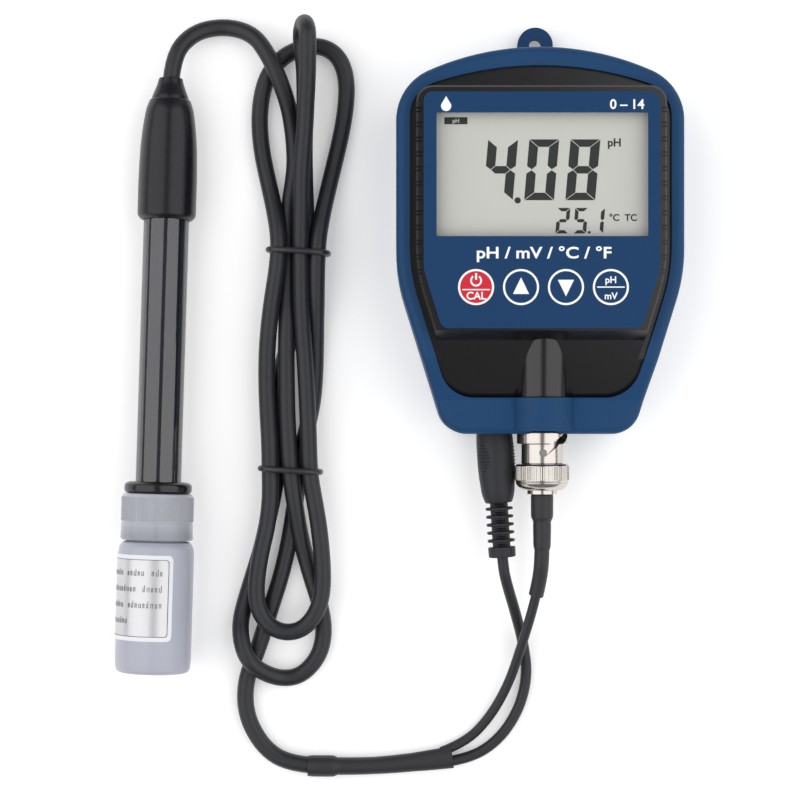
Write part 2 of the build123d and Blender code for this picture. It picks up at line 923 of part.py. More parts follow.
def make_jack_shell():
    """The socket's metal shell with its two locking lugs."""
    flange = barrel_radius + flange_rim
    shell = turned_y([
        (socket_tail_y, insulator_radius), (socket_tail_y, flange), (wall_in, flange),
        (wall_in, barrel_radius), (barrel_mouth_y, barrel_radius), (barrel_mouth_y, barrel_bore),
        (socket_floor_y, barrel_bore), (socket_floor_y, insulator_radius),
    ], socket_x, socket_z)
    lugs = Pos(socket_x, lug_y, socket_z) * Cylinder(lug_radius, 2 * lug_tip)
    bore = rod_y(socket_x, socket_z, lug_y - 2, lug_y + 2, barrel_radius - 0.2)
    return shell + (lugs - bore)


def make_jack_insulator():
    """The white insulator inside the socket."""
    return turned_y([
        (socket_tail_y, contact_radius), (socket_tail_y, insulator_radius),
        (socket_floor_y, insulator_radius), (socket_floor_y, insulator_nose_radius),
        (boss_tip_y, insulator_nose_radius),
        (boss_tip_y, contact_radius),
    ], socket_x, socket_z)


def make_jack_contact():
    """The socket's centre contact, bored for the plug's pin."""
    return turned_y([
        (contact_tail_y, 0), (contact_tail_y, contact_radius),
        (boss_tip_y, contact_radius), (boss_tip_y, contact_bore),
        (plug_tip_y, contact_bore), (plug_tip_y, 0),
    ], socket_x, socket_z)


def make_jack_nut():
    """The hexagonal nut that holds the socket to the end wall."""
    nut = extrude(RegularPolygon(radius=barrel_radius + nut_rim, side_count=6), nut_thickness)
    nut = nut - Cylinder(barrel_radius, 4 * nut_thickness)
    return Pos(socket_x, wall_out, socket_z) * Rot(90, 0, 0) * nut


def make_plug_body():
    """The plug's metal body: inner sleeve, shoulder and clamp."""
    return turned_y([
        (plug_tip_y, plug_bore), (plug_tip_y, plug_nut_radius),
        (gasket_y, plug_nut_radius), (gasket_y, shoulder_plug),
        (shoulder_end_y, shoulder_plug), (shoulder_end_y, plug_nut_radius),
        (plug_end_y, plug_nut_radius), (plug_end_y, ph_branch_diameter / 2 + 0.2),
        (plug_wall_y, ph_branch_diameter / 2 + 0.2), (plug_wall_y, plug_bore),
    ], socket_x, socket_z)


def make_plug_insulator():
    """The disc that carries the plug's pin."""
    return turned_y([
        (insulator_face_y, plug_pin_radius), (insulator_face_y, plug_bore),
        (plug_wall_y, plug_bore), (plug_wall_y, plug_pin_radius),
    ], socket_x, socket_z)


def make_plug_pin():
    """The plug's centre pin with its rounded tip."""
    tip = plug_tip_y - 0.6
    return turned_y([
        (tip, 0), (tip, 0.3), (tip - 0.5, plug_pin_radius), (plug_end_y + 2, plug_pin_radius),
        (plug_end_y + 2, 0),
    ], socket_x, socket_z)


def make_gasket():
    """The rubber ring between the socket's mouth and the plug's shoulder."""
    return turned_y([
        (barrel_mouth_y, plug_nut_radius), (barrel_mouth_y, barrel_radius),
        (gasket_y, barrel_radius), (gasket_y, plug_nut_radius),
    ], socket_x, socket_z)


def make_ring():
    """The bayonet ring with its two helical slots for the lugs."""
    bore = shoulder_plug + hand_fit
    lip = plug_nut_radius + hand_fit
    ring = turned_y([
        (ring_front_y, ring_bore), (ring_front_y, collar_radius - 0.4),
        (ring_front_y - 0.4, collar_radius), (collar_end_y, collar_radius),
        (collar_end_y, waist_radius), (knurl_start_y + 0.3, waist_radius),
        (knurl_start_y, knurl_radius), (knurl_end_y, knurl_radius),
        (ring_end_y, ring_tail_radius), (ring_end_y, lip),
        (shoulder_end_y - hand_fit, lip), (shoulder_end_y - hand_fit, bore),
    ], socket_x, socket_z)
    steps = 17
    reach = ring_front_y - lug_y + lug_radius
    for index in range(steps):
        advance = reach * index / (steps - 1)
        turn = bayonet_turn * advance / bayonet_lead
        slot = Rot(0, turn, 0) * Cylinder(lug_radius + hand_fit, 2 * lug_tip + 0.5)
        ring = ring - Pos(socket_x, lug_y + advance, socket_z) * slot
    return ring


def make_bnc_sleeve():
    """The shrunk sleeve behind the plug, wide over the crimp and narrow over the cable."""
    bore = ph_branch_diameter / 2 + 0.05
    return turned_y([
        (plug_end_y, bore), (plug_end_y, sleeve_wide_radius),
        (sleeve_step_y + 0.5, sleeve_wide_radius), (sleeve_step_y - 0.6, sleeve_narrow_radius),
        (sleeve_end_y, sleeve_narrow_radius), (sleeve_end_y, bore),
    ], socket_x, socket_z)


# ---- Temperature jack and plug ----

def plug_place():
    """The frame of the leaning temperature plug, +Z away from the meter."""
    return Pos(jack_x, plug_face_y, jack_z) * Rot(0, 0, plug_lean) * Rot(90, 0, 0)


def along_plug(distance):
    """A point on the leaning plug's axis."""
    spot = plug_place() * Pos(0, 0, distance)
    return tuple(spot.position)


def make_temp_jack():
    """The jack's body, with its flange inside the end wall."""
    tail = wall_in + jack_depth
    return turned_y([
        (tail, 0), (tail, jack_radius - 0.8), (wall_in + 1.2, jack_radius - 0.8),
        (wall_in + 1.2, jack_radius + 0.8), (wall_in, jack_radius + 0.8),
        (wall_in, jack_radius), (wall_out, jack_radius), (wall_out, jack_bore),
        (tail - 1.0, jack_bore), (tail - 1.0, 0),
    ], jack_x, jack_z)


def make_temp_pin():
    """The plug's round contact pin with its necked tip."""
    tip = wall_out + pin_length - 3.0
    return turned_y([
        (tip, 0), (tip, 0.5), (tip - 1.4, pin_radius), (tip - 2.4, pin_radius * 0.7),
        (tip - 3.2, pin_radius), (plug_face_y - 3.0, pin_radius), (plug_face_y - 3.0, 0),
    ], jack_x, jack_z)


def make_temp_plug():
    """The moulded plug body."""
    body = turned([
        (0, 0), (0, plug_radius - 0.3), (0.3, plug_radius), (4.5, plug_grip_radius),
        (12.0, plug_grip_radius), (18.0, plug_grip_radius - 0.6), (plug_length, plug_tail_radius),
        (plug_length, 0),
    ], plug_place())
    cable = plug_place() * Pos(0, 0, plug_length) * Cylinder(temp_branch_diameter / 2 + 0.05, 6.0)
    pocket = rod_y(jack_x, jack_z, plug_face_y + 1, plug_face_y - 3.0, pin_radius)
    return body - cable - pocket


def make_temp_relief():
    """The finned strain relief with its end block."""
    end = plug_length + relief_length
    profile = [(plug_length, temp_branch_diameter / 2 + 0.05), (plug_length, relief_core_radius)]
    for index in range(relief_fin_count):
        start = plug_length + 1.0 + index * relief_fin_pitch
        profile.append((start, relief_core_radius))
        profile.append((start, relief_fin_radius))
        profile.append((start + relief_fin_thickness, relief_fin_radius))
        profile.append((start + relief_fin_thickness, relief_core_radius))
    profile.append((end - relief_block_length, relief_core_radius))
    profile.append((end - relief_block_length, relief_fin_radius))
    profile.append((end - 0.4, relief_fin_radius))
    profile.append((end, relief_fin_radius - 0.4))
    profile.append((end, temp_branch_diameter / 2 + 0.05))
    return turned(profile, plug_place())


# ---- Electrode ----

def probe_pitch():
    """The rise of the electrode's axis from its handle to the fatter bottle."""
    run = label_start - handle_wide_at
    return math.degrees(math.asin((bottle_radius + label_thickness - handle_radius) / run))


def probe_place():
    """The electrode's frame: origin at the cord's exit, +Z towards the bottle."""
    rise = math.radians(probe_pitch())
    top_z = (handle_radius + 0.01) / math.cos(rise) - handle_wide_at * math.sin(rise)
    place = Pos(probe_top_x, probe_top_y, top_z)
    return place * Rot(0, 0, -probe_yaw) * Rot(90 - probe_pitch(), 0, 0)


def along_probe(distance):
    """A point on the electrode's axis."""
    return tuple((probe_place() * Pos(0, 0, distance)).position)


def make_probe_relief():
    """The soft collar where the cord leaves the handle."""
    bore = cord_diameter / 2 + 0.05
    return turned([
        (0, bore), (0, relief_top_radius), (2.0, relief_top_radius + 0.3),
        (probe_relief_length, relief_base_radius), (probe_relief_length, bore),
    ], probe_place())


def make_probe_handle():
    """The waisted handle, hollow for the wiring and for the tube's end."""
    bore = cord_diameter / 2 + 0.05
    end = handle_length
    start = probe_relief_length
    fit = tube_radius
    return turned([
        (start, bore), (start, handle_top_radius - 0.3), (start + 0.4, handle_top_radius),
        (start + 2.7, handle_top_radius + 0.9), (start + 8.2, handle_radius - 0.6),
        (start + 13.2, handle_radius - 0.2), (handle_wide_at, handle_radius),
        (end - 3.0, handle_radius), (end - handle_round, handle_radius - 0.3),
        (end - 0.4, fit + 0.9), (end, fit + 0.4), (end, fit), (tube_start, fit),
        (tube_start, fit - 1.4), (start + 8.2, fit - 1.4), (start + 3.2, bore),
    ], probe_place())


def make_probe_tube():
    """The outer tube, its open end slotted as a guard round the bulb."""
    tube = turned([
        (tube_start, tube_radius - tube_wall), (tube_start, tube_radius),
        (tube_end - 0.6, tube_radius), (tube_end, tube_radius - 0.5),
        (tube_end, tube_radius - tube_wall),
    ], probe_place())
    for angle in (0, 90):
        slot = Pos(0, 0, tube_end) * Rot(0, 0, angle) * Box(2 * tube_radius + 2, 2.4, 8.0)
        tube = tube - probe_place() * slot
    return tube


def make_probe_stem():
    """The glass stem with its sensing bulb."""
    inner = stem_radius - stem_wall
    start = tube_start + 4.0
    bulb_z = tube_end - 4.6
    stem = Pos(0, 0, (start + bulb_z) / 2) * Cylinder(stem_radius, bulb_z - start)
    stem = stem + Pos(0, 0, bulb_z) * Sphere(bulb_radius)
    core = Pos(0, 0, (start + bulb_z) / 2) * Cylinder(inner, bulb_z - start + 1)
    stem = stem - core - Pos(0, 0, bulb_z) * Sphere(bulb_radius - stem_wall)
    return probe_place() * stem


def make_probe_wire():
    """The silver wire inside the stem, carried by a stopper at the top."""
    start = tube_start + 4.0
    stopper = Pos(0, 0, start + 3.0) * Cylinder(stem_radius - stem_wall, 6.0)
    wire = Pos(0, 0, (start + tube_end - 6) / 2) * Cylinder(wire_radius, tube_end - 6 - start)
    return probe_place() * (stopper + wire)


def make_probe_junction():
    """The two discs that centre the stem and the temperature sensor in the tube."""
    discs = []
    for start, thickness in ((tube_start + 5.0, 4.0), (tube_end - 12.0, 3.0)):
        disc = Pos(0, 0, start + thickness / 2) * Cylinder(tube_radius - tube_wall, thickness)
        disc = disc - Pos(0, 0, start) * Cylinder(stem_radius, 20)
        disc = disc - Pos(0, -sensor_offset, start) * Cylinder(sensor_radius, 20)
        discs.append(probe_place() * disc)
    return discs


def make_temp_sensor():
    """The thin temperature sensor beside the stem."""
    start = tube_start + 4.0
    end = tube_end - 6.0
    rod = Pos(0, -sensor_offset, (start + end) / 2) * Cylinder(sensor_radius, end - start)
    return probe_place() * rod


# ---- Storage bottle ----

def make_cap_seal():
    """The soft grommet in the cap's top that grips the tube."""
    bore = tube_radius + seal_fit
    return turned([
        (seal_start, bore), (seal_start, seal_radius - 0.5), (seal_start + 0.5, seal_radius),
        (cap_start, seal_radius), (cap_start, seal_neck_radius),
        (cap_start + cap_top, seal_neck_radius), (cap_start + cap_top, neck_radius),
        (seal_end, neck_radius), (seal_end, bore),
    ], probe_place())


def make_bottle_cap():
    """The screw cap."""
    inner = cap_radius - cap_wall
    return turned([
        (cap_start, seal_neck_radius), (cap_start, cap_radius - 0.4), (cap_start + 0.4, cap_radius),
        (cap_end, cap_radius), (cap_end, inner), (cap_start + cap_top, inner),
        (cap_start + cap_top, seal_neck_radius),
    ], probe_place())


def make_bottle():
    """The bottle: threaded neck, shoulder, body and rounded bottom."""
    inner = bottle_radius - bottle_wall
    throat = neck_radius - neck_wall
    end = bottle_end
    return turned([
        (seal_end, throat), (seal_end, neck_radius), (bottle_start, neck_radius),
        (bottle_start + 0.4, neck_radius + 1.2), (label_start - 0.6, bottle_radius),
        (end - bottle_round, bottle_radius), (end - 0.9, bottle_radius - 0.9),
        (end, bottle_radius - bottle_round), (end, 0), (end - bottle_wall, 0),
        (end - bottle_wall, inner - bottle_round), (end - 1.7, inner - 0.9),
        (end - bottle_round, inner), (label_start, inner), (bottle_start + 1.4, throat + 0.9),
        (bottle_start + 0.9, throat),
    ], probe_place())


def make_label():
    """The wrapped label round the bottle."""
    ring = turned([
        (label_start, bottle_radius), (label_start, bottle_radius + label_thickness),
        (label_end, bottle_radius + label_thickness), (label_end, bottle_radius),
    ], Pos(0, 0, 0))
    first = 90 - label_edge_angle
    missing = 360 - label_wrap
    middle = math.radians(first - missing / 2)
    low = math.radians(first)
    high = math.radians(first - missing)
    reach = 60.0
    gap = make_face(Polyline(
        (0, 0), (reach * math.cos(low), reach * math.sin(low)),
        (reach * math.cos(middle), reach * math.sin(middle)),
        (reach * math.cos(high), reach * math.sin(high)), close=True,
    ))
    wedge = Pos(0, 0, label_start - 1) * extrude(gap, label_end - label_start + 2)
    return probe_place() * (ring - wedge)


def make_solution():
    """The storage solution round the electrode."""
    outer = bottle_radius - bottle_wall - 0.05
    bore = tube_radius + 0.1
    end = bottle_end - bottle_wall - 0.05
    return turned([
        (label_start + 0.2, bore), (label_start + 0.2, outer - 0.4), (label_start + 1.0, outer),
        (bottle_end - bottle_round - 0.1, outer), (end, outer - bottle_round + 0.1), (end, 0),
        (tube_end + 0.4, 0), (tube_end + 0.4, bore),
    ], probe_place())


# ---- Cord ----

def make_cord_probe_end():
    """The cord from the electrode's handle to where it joins the hank."""
    return cord_tube("cord_probe_end", [
        along_probe(4.0), along_probe(-5.3), (-91.3, 56.2, 4.2), (-83.0, 58.3, 2.4),
        (-75.0, 55.9, 4.6), (-70.6, 49.4, 6.7), (-68.2, 44.4, 6.8),
    ], cord_diameter)


def make_cord_tail():
    """The cord from the hank to the sleeve where it divides."""
    return cord_tube("cord_tail", [
        (-73.9, -108.0, 2.25), (-77.4, -116.6, 2.26), (-77.2, -126.0, 2.25),
        (-72.4, -134.6, 2.27), (-65.4, -138.8, 2.5), (sleeve_main_x + 3.0, sleeve_y, 2.9),
    ], cord_diameter)


def make_branch_ph():
    """The thinner cord from the sleeve to the probe plug."""
    return cord_tube("branch_ph", [
        (sleeve_branch_x - 3.0, -135.55, 2.1), (-18.4, -133.2, 1.4), (-11.8, -126.2, 1.7),
        (-6.9, -117.0, 3.4), (-4.0, -107.3, 7.1), (-1.3, -97.8, 10.2), (0.6, -89.0, 12.9),
        (socket_x, sleeve_end_y - 2.6, socket_z), (socket_x, sleeve_end_y + 3.6, socket_z),
    ], ph_branch_diameter)


def make_branch_temp():
    """The thinner cord from the sleeve to the temperature plug."""
    end = plug_length + relief_length
    return cord_tube("branch_temp", [
        (sleeve_branch_x - 3.0, -138.4, 2.1), (-18.0, -137.7, 1.5), (-10.0, -133.0, 1.55),
        (-4.3, -124.8, 1.5), (-1.9, -115.4, 1.6), (-3.1, -106.3, 2.6), (-5.4, -97.9, 5.9),
        (-7.7, -90.6, 10.0), along_plug(end + 2.6), along_plug(end - 3.0),
    ], temp_branch_diameter)


def make_y_sleeve():
    """The shrunk sleeve where the cord divides in two."""
    joint = Pos((sleeve_main_x + sleeve_neck_x) / 2, sleeve_y, 2.9) * Rot(0, 90, 0) * Cylinder(
        2.85, sleeve_neck_x - sleeve_main_x
    )
    stations = [
        (sleeve_neck_x - 1.5, sleeve_y, 2.9, 2.3, 2.3),
        ((sleeve_neck_x + sleeve_branch_x) / 2, sleeve_y + 0.1, 2.35, 2.25, 2.15),
        (sleeve_branch_x, sleeve_end[0], sleeve_end[1], 2.95, 1.85),
    ]
    faces = [
        Plane(origin=(x, y, z), x_dir=(0, 1, 0), z_dir=(1, 0, 0)) * Ellipse(wide, high)
        for x, y, z, wide, high in stations
    ]
    return joint + loft(faces)


def tie_shape(centre):
    """A wire tie: a band wrapped once round the strands."""
    x, y = centre
    wide = tie_half_width + tie_proud
    half = tie_width / 2
    band = block(x - wide, x + wide, y - half, y + half, 0, hank_height + tie_proud)
    core = block(
        x - wide + tie_width, x + wide - tie_width, y - 2 * half, y + 2 * half,
        tie_width, hank_height + tie_proud - tie_width,
    )
    corners = [e for e in band.edges().filter_by(Axis.Y)]
    return fillet(corners, 2.2) - fillet(core.edges().filter_by(Axis.Y), 1.0)


def make_hank():
    """The folded hank as one closed outer form: two ends, the waist and the upright fold."""
    tied = Rectangle(2 * tie_half_width, 3 * tie_width)
    upper = Pos(*upper_loop) * Circle(upper_loop_radius)
    upper = make_hull(upper.edges() + (Pos(*upper_tie) * tied).edges())
    lower = Pos(*lower_loop) * Circle(lower_loop_radius)
    lower = make_hull(lower.edges() + (Pos(*lower_tie) * tied).edges())
    ux, uy = upper_tie
    lx, ly = lower_tie
    middle = make_face(Polyline(
        (ux - tie_half_width, uy), waist_left, (lx - tie_half_width, ly),
        (lx + tie_half_width, ly), waist_right, (ux + tie_half_width, uy), close=True,
    ))
    low = hank_low
    body = slab(upper, low, hank_height) + slab(lower, low, hank_height)
    body = body + slab(middle, low, hank_height)
    top_y, top_z = fold_top
    left, right = fold_x
    start = upper_tie[1]
    rise = Plane.YZ * make_face(Polyline(
        (start, hank_height - 2.0), (start + 22, hank_height + 3.6), (top_y - 12.5, top_z - 1.5),
        (top_y - 8, top_z), (top_y - 4, top_z - 0.8), (top_y - 0.4, top_z - 4.5),
        (top_y, top_z - 8), (top_y - 1.4, 6.4), (top_y - 5, low + 3.6), (start, low + 3.6),
        close=True,
    ))
    fold = Pos(left, 0, 0) * extrude(rise, right - left)
    return body + fold


os.makedirs("parts", exist_ok=True)
cord_probe_end = make_cord_probe_end()
cord_tail = make_cord_tail()
branch_ph = make_branch_ph()
branch_temp = make_branch_temp()
ties = [tie_shape(upper_tie), tie_shape(lower_tie)]
hank = make_hank() - ties[0] - ties[1] - cord_probe_end - cord_tail
y_sleeve = make_y_sleeve() - cord_tail - branch_ph - branch_temp
red_start, black_start = lead_starts()

save("boot", make_boot())
save("front_case", make_front_case())
save("rear_case", make_rear_case())
save("case_screws", make_case_screws())
save("overlay", make_overlay())
save("window_lens", lens_block(0, platform_z))
for name, place in zip(("power", "up", "down", "mode"), key_places()):
    save(f"key_{name}", make_key(*place))
    save(f"dome_{name}", make_dome(*place))
save("lcd_glass", make_lcd_glass())
save("lcd_frame", make_lcd_frame())
save("zebra_strips", zebra_bars())
save("main_board", make_main_board())
save("board_parts", make_board_chips() + make_board_passives())
save("board_screws", make_board_screws())
save("battery_door", make_battery_door())
save("battery_cells", make_cells())
save("battery_contacts", make_contact_plates() + make_contact_springs())
save("lead_red", make_battery_lead(red_start))
save("lead_black", make_battery_lead(black_start))
save("signal_leads", [
    make_signal_lead(socket_x, contact_tail_y, socket_z),
    make_signal_lead(jack_x, wall_in + jack_depth, jack_z),
])
save("bnc_jack_shell", make_jack_shell())
save("bnc_jack_insulator", make_jack_insulator())
save("bnc_jack_contact", make_jack_contact())
save("bnc_jack_nut", make_jack_nut())
save("bnc_plug_body", make_plug_body())
save("bnc_plug_insulator", make_plug_insulator())
save("bnc_plug_pin", make_plug_pin())
save("bnc_gasket", make_gasket())
save("bnc_ring", make_ring())
save("bnc_sleeve", make_bnc_sleeve())
save("temp_jack", make_temp_jack())
save("temp_plug_body", make_temp_plug())
save("temp_plug_pin", make_temp_pin())
save("temp_relief", make_temp_relief())
save("probe_relief", make_probe_relief())
save("probe_handle", make_probe_handle())
save("probe_tube", make_probe_tube())
save("probe_stem", make_probe_stem())
save("probe_wire", make_probe_wire())
save("probe_junction", make_probe_junction())
save("temp_sensor", make_temp_sensor())
save("cap_seal", make_cap_seal())
save("bottle_cap", make_bottle_cap())
save("storage_bottle", make_bottle())
save("bottle_label", make_label())
save("storage_solution", make_solution())
save("cord_probe_end", cord_probe_end)
save("cord_hank", hank)
save("cord_tail", cord_tail)
save("tie_upper", ties[0])
save("tie_lower", ties[1])
save("y_sleeve", y_sleeve)
save("branch_ph", branch_ph)
save("branch_temp", branch_temp)
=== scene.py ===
import math

import bpy
import bmesh
from mathutils import Matrix, Vector


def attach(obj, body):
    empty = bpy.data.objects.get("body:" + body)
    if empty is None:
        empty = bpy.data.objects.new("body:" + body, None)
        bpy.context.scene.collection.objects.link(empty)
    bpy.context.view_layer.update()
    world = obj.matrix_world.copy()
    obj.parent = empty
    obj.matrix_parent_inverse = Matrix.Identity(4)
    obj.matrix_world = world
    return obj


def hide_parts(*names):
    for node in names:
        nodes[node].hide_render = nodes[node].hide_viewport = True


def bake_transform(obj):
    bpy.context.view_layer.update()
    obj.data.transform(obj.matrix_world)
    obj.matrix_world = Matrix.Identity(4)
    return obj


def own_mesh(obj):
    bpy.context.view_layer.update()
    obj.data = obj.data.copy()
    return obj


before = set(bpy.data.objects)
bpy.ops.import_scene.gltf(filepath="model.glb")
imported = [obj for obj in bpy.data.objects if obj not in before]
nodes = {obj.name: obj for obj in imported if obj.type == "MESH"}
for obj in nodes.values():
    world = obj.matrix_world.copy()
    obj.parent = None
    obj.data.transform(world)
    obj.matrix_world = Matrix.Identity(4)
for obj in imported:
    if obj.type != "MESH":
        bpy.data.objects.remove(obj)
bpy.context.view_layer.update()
scene = bpy.context.scene
MM = 0.001

# ---- Camera, straight above the layout ----
VIEW_CENTRE = (-0.036, -0.0416)
CAMERA_HEIGHT = 0.6
CAMERA_LENS = 100.7

# ---- Cord sizes, in millimetres ----
CORD = 4.5
PH_BRANCH = 2.6
TEMP_BRANCH = 2.9
TIE = 1.6

# ---- Electrode's frame ----
PROBE_TOP = (-96.7, 43.7, 7.1132)
PROBE_YAW = math.radians(1.63)
PROBE_PITCH = math.asin((10.12 - 7.75) / 98.9)
# ---- Temperature plug's frame ----
PLUG_FACE = (-11.4, -48.4, 12.2)
PLUG_LEAN = math.radians(3.8)
# ---- Probe plug's axis ----
SOCKET_X = 1.1
SOCKET_Z = 15.5
# ---- Heights and keys on the meter, in millimetres ----
FILM_TOP = 32.3
GLASS_TOP = 29.4
BOARD_TOP = 24.0
KEY_Y = -12.95
KEY_X = (-16.7, -5.3, 6.1, 17.5)
KEY_NAMES = ("power", "up", "down", "mode")


def placed(point, yaw, pitch):
    """A frame whose +Z lies along -Y, turned by yaw and lifted by pitch."""
    where = Matrix.Translation(Vector(point) * MM)
    return where @ Matrix.Rotation(yaw, 4, "Z") @ Matrix.Rotation(math.pi / 2 - pitch, 4, "X")


probe_frame = placed(PROBE_TOP, -PROBE_YAW, PROBE_PITCH)
plug_frame = placed(PLUG_FACE, PLUG_LEAN, 0)
socket_frame = placed((SOCKET_X, 0, SOCKET_Z), 0, 0)


def on_axis(place, distance):
    """A point on a placed frame's axis, in millimetres."""
    return tuple((place @ Vector((0, 0, distance * MM))) / MM)


def add_object(name, data):
    """A new object at the origin of the scene."""
    obj = bpy.data.objects.new(name, data)
    scene.collection.objects.link(obj)
    return obj


def plain_mesh(obj):
    """An object's evaluated shape as a plain mesh."""
    graph = bpy.context.evaluated_depsgraph_get()
    return bpy.data.meshes.new_from_object(obj.evaluated_get(graph))


def fit_out(obj, material, body, slot, *stands_for):
    """Give a piece its finish and its body, and hide the CAD nodes it stands for; slot is not used.
    """
    obj.data.materials.append(material)
    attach(obj, body)
    if stands_for:
        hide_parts(*stands_for)
    return obj


def make_camera():
    """The camera, looking straight down with +Y up the picture."""
    data = bpy.data.cameras.new("camera")
    data.lens = CAMERA_LENS
    data.sensor_width = 36
    data.clip_start = 0.01
    camera = add_object("camera", data)
    camera.location = (*VIEW_CENTRE, CAMERA_HEIGHT)
    scene.camera = camera


make_camera()

# ---- The cord's route, in millimetres: out of the handle, five times along the hank, and out ----
PROBE_END = [
    on_axis(probe_frame, 4.0), on_axis(probe_frame, -5.3), (-91.3, 56.2, 4.2),
    (-83.0, 58.3, 2.4), (-75.0, 55.9, 4.6), (-70.6, 49.4, 6.7), (-67.6, 42.6, 6.6),
]
FIRST_RUN = [
    (-65.8, 37.1, 4.6), (-64.9, 32.5, 3.0), (-64.3, 27.3, 2.3), (-64.0, 21.1, 2.3),
    (-64.8, 15.0, 2.3), (-65.6, 9.7, 2.6), (-65.9, 3.2, 3.4), (-65.9, -2.1, 3.8),
    (-66.0, -8.3, 3.6), (-66.2, -14.4, 3.8), (-66.1, -20.9, 5.4), (-66.2, -28.3, 6.3),
    (-66.1, -36.3, 6.4), (-66.0, -44.3, 6.5), (-65.6, -52.2, 6.8), (-65.1, -60.1, 7.6),
]
OUTER_LOOP = [
    (-64.4, -66.0, 6.8), (-63.6, -71.3, 5.4), (-62.6, -77.6, 3.8), (-61.1, -84.0, 2.5),
    (-59.2, -90.5, 2.25), (-57.2, -96.6, 2.25), (-56.2, -103.0, 2.26), (-57.1, -108.6, 2.25),
    (-59.8, -112.9, 2.25), (-63.5, -115.6, 2.25), (-67.8, -115.9, 2.6), (-71.6, -114.5, 4.4),
    (-75.0, -112.1, 6.5), (-77.1, -108.9, 6.9), (-78.3, -104.7, 6.0), (-78.5, -100.5, 3.6),
    (-77.6, -96.3, 2.3), (-76.0, -91.0, 2.25), (-74.4, -85.9, 2.25), (-72.8, -80.6, 2.25),
    (-71.5, -74.7, 2.3), (-70.0, -68.3, 2.9), (-68.6, -60.3, 3.8),
]
SECOND_RUN = [
    (-68.6, -52.3, 3.0), (-68.7, -44.3, 2.4), (-68.2, -36.3, 2.3), (-66.4, -28.3, 2.3),
    (-63.5, -20.2, 2.3), (-61.4, -12.2, 2.7), (-60.5, -6.4, 3.6), (-60.5, -1.6, 3.9),
    (-60.8, 3.7, 4.0), (-61.1, 10.3, 4.8), (-61.3, 17.3, 6.0), (-61.4, 24.6, 6.8),
    (-61.2, 32.6, 6.9), (-61.2, 40.5, 6.8), (-61.4, 47.2, 6.8), (-62.0, 51.6, 7.0),
    (-62.2, 55.1, 8.5), (-61.6, 57.2, 12.0), (-60.7, 57.1, 16.0), (-60.0, 54.6, 19.4),
    (-59.9, 51.2, 19.6),
]
THIRD_RUN = [
    (-60.0, 46.8, 18.2), (-60.2, 41.3, 16.6), (-60.6, 35.8, 14.9), (-60.9, 30.2, 13.3),
    (-61.5, 24.1, 11.8), (-62.0, 17.6, 10.6), (-62.1, 11.2, 9.3), (-62.2, 4.7, 8.2),
    (-62.3, -1.9, 7.8), (-62.2, -8.5, 7.2), (-62.2, -15.1, 6.7), (-61.8, -23.0, 6.5),
    (-61.2, -31.0, 6.5), (-60.7, -40.3, 6.5), (-60.3, -49.6, 6.7), (-60.0, -60.1, 7.6),
]
INNER_LOOP = [
    (-59.2, -65.4, 7.2), (-58.4, -69.7, 6.9), (-57.6, -74.5, 6.8), (-56.9, -80.3, 6.8),
    (-56.5, -86.1, 6.8), (-56.5, -91.4, 6.8), (-57.3, -95.9, 6.8), (-59.3, -99.9, 6.8),
    (-62.2, -102.5, 6.8), (-65.7, -103.3, 6.8), (-69.1, -102.5, 6.8), (-72.0, -100.0, 6.8),
    (-73.8, -96.2, 6.8), (-74.2, -91.4, 6.8), (-73.6, -86.1, 6.8), (-72.6, -80.8, 6.8),
    (-71.2, -75.0, 6.9), (-70.3, -67.6, 7.3), (-70.4, -60.1, 7.6),
]
FOURTH_RUN = [
    (-70.6, -52.2, 6.8), (-71.1, -44.3, 6.5), (-71.4, -36.3, 6.4), (-71.3, -28.3, 6.4),
    (-70.6, -20.4, 6.6), (-69.7, -13.8, 6.9), (-68.6, -7.2, 7.4), (-68.1, -1.9, 7.7),
    (-68.3, 2.9, 6.7), (-69.3, 8.4, 4.7), (-70.4, 13.3, 3.0),
]
TOP_LOOP = [
    (-71.6, 18.5, 2.3), (-72.7, 23.8, 2.25), (-73.4, 29.4, 2.25), (-73.5, 35.0, 2.26),
    (-72.8, 40.4, 2.25), (-71.4, 44.9, 2.25), (-68.8, 48.6, 2.26), (-65.4, 51.2, 2.25),
    (-61.4, 52.6, 2.25), (-57.4, 53.0, 2.26), (-53.6, 51.3, 2.25), (-51.2, 47.8, 2.25),
    (-50.2, 43.0, 2.26), (-50.4, 37.4, 2.25), (-51.2, 31.8, 2.25), (-52.4, 26.2, 2.26),
    (-53.8, 20.3, 2.4), (-55.2, 14.4, 3.4), (-56.6, 7.8, 5.0), (-57.5, 2.4, 6.6),
    (-57.9, -2.4, 7.4),
]
FIFTH_RUN = [
    (-58.1, -8.5, 6.8), (-58.2, -15.1, 5.6), (-58.4, -21.6, 3.6), (-58.5, -28.3, 2.6),
    (-58.7, -34.9, 2.3), (-59.2, -41.6, 2.25), (-60.6, -48.3, 2.4), (-62.1, -54.4, 3.1),
    (-62.9, -60.3, 3.8), (-63.5, -65.6, 3.0), (-64.3, -71.0, 2.4), (-65.2, -76.8, 2.25),
    (-66.4, -83.0, 2.26), (-68.0, -89.4, 2.25), (-70.0, -95.5, 2.25), (-71.9, -101.7, 2.26),
]
TAIL = [
    (-73.9, -108.0, 2.25), (-77.4, -116.6, 2.26), (-77.2, -126.0, 2.25),
    (-72.4, -134.6, 2.27), (-65.4, -138.8, 2.5), (-57.6, -139.2, 2.9),
]
MAIN_ROUTE = (
    PROBE_END + FIRST_RUN + OUTER_LOOP + SECOND_RUN + THIRD_RUN
    + INNER_LOOP + FOURTH_RUN + TOP_LOOP + FIFTH_RUN + TAIL
)
SLEEVE_BRANCH_X = -22.0
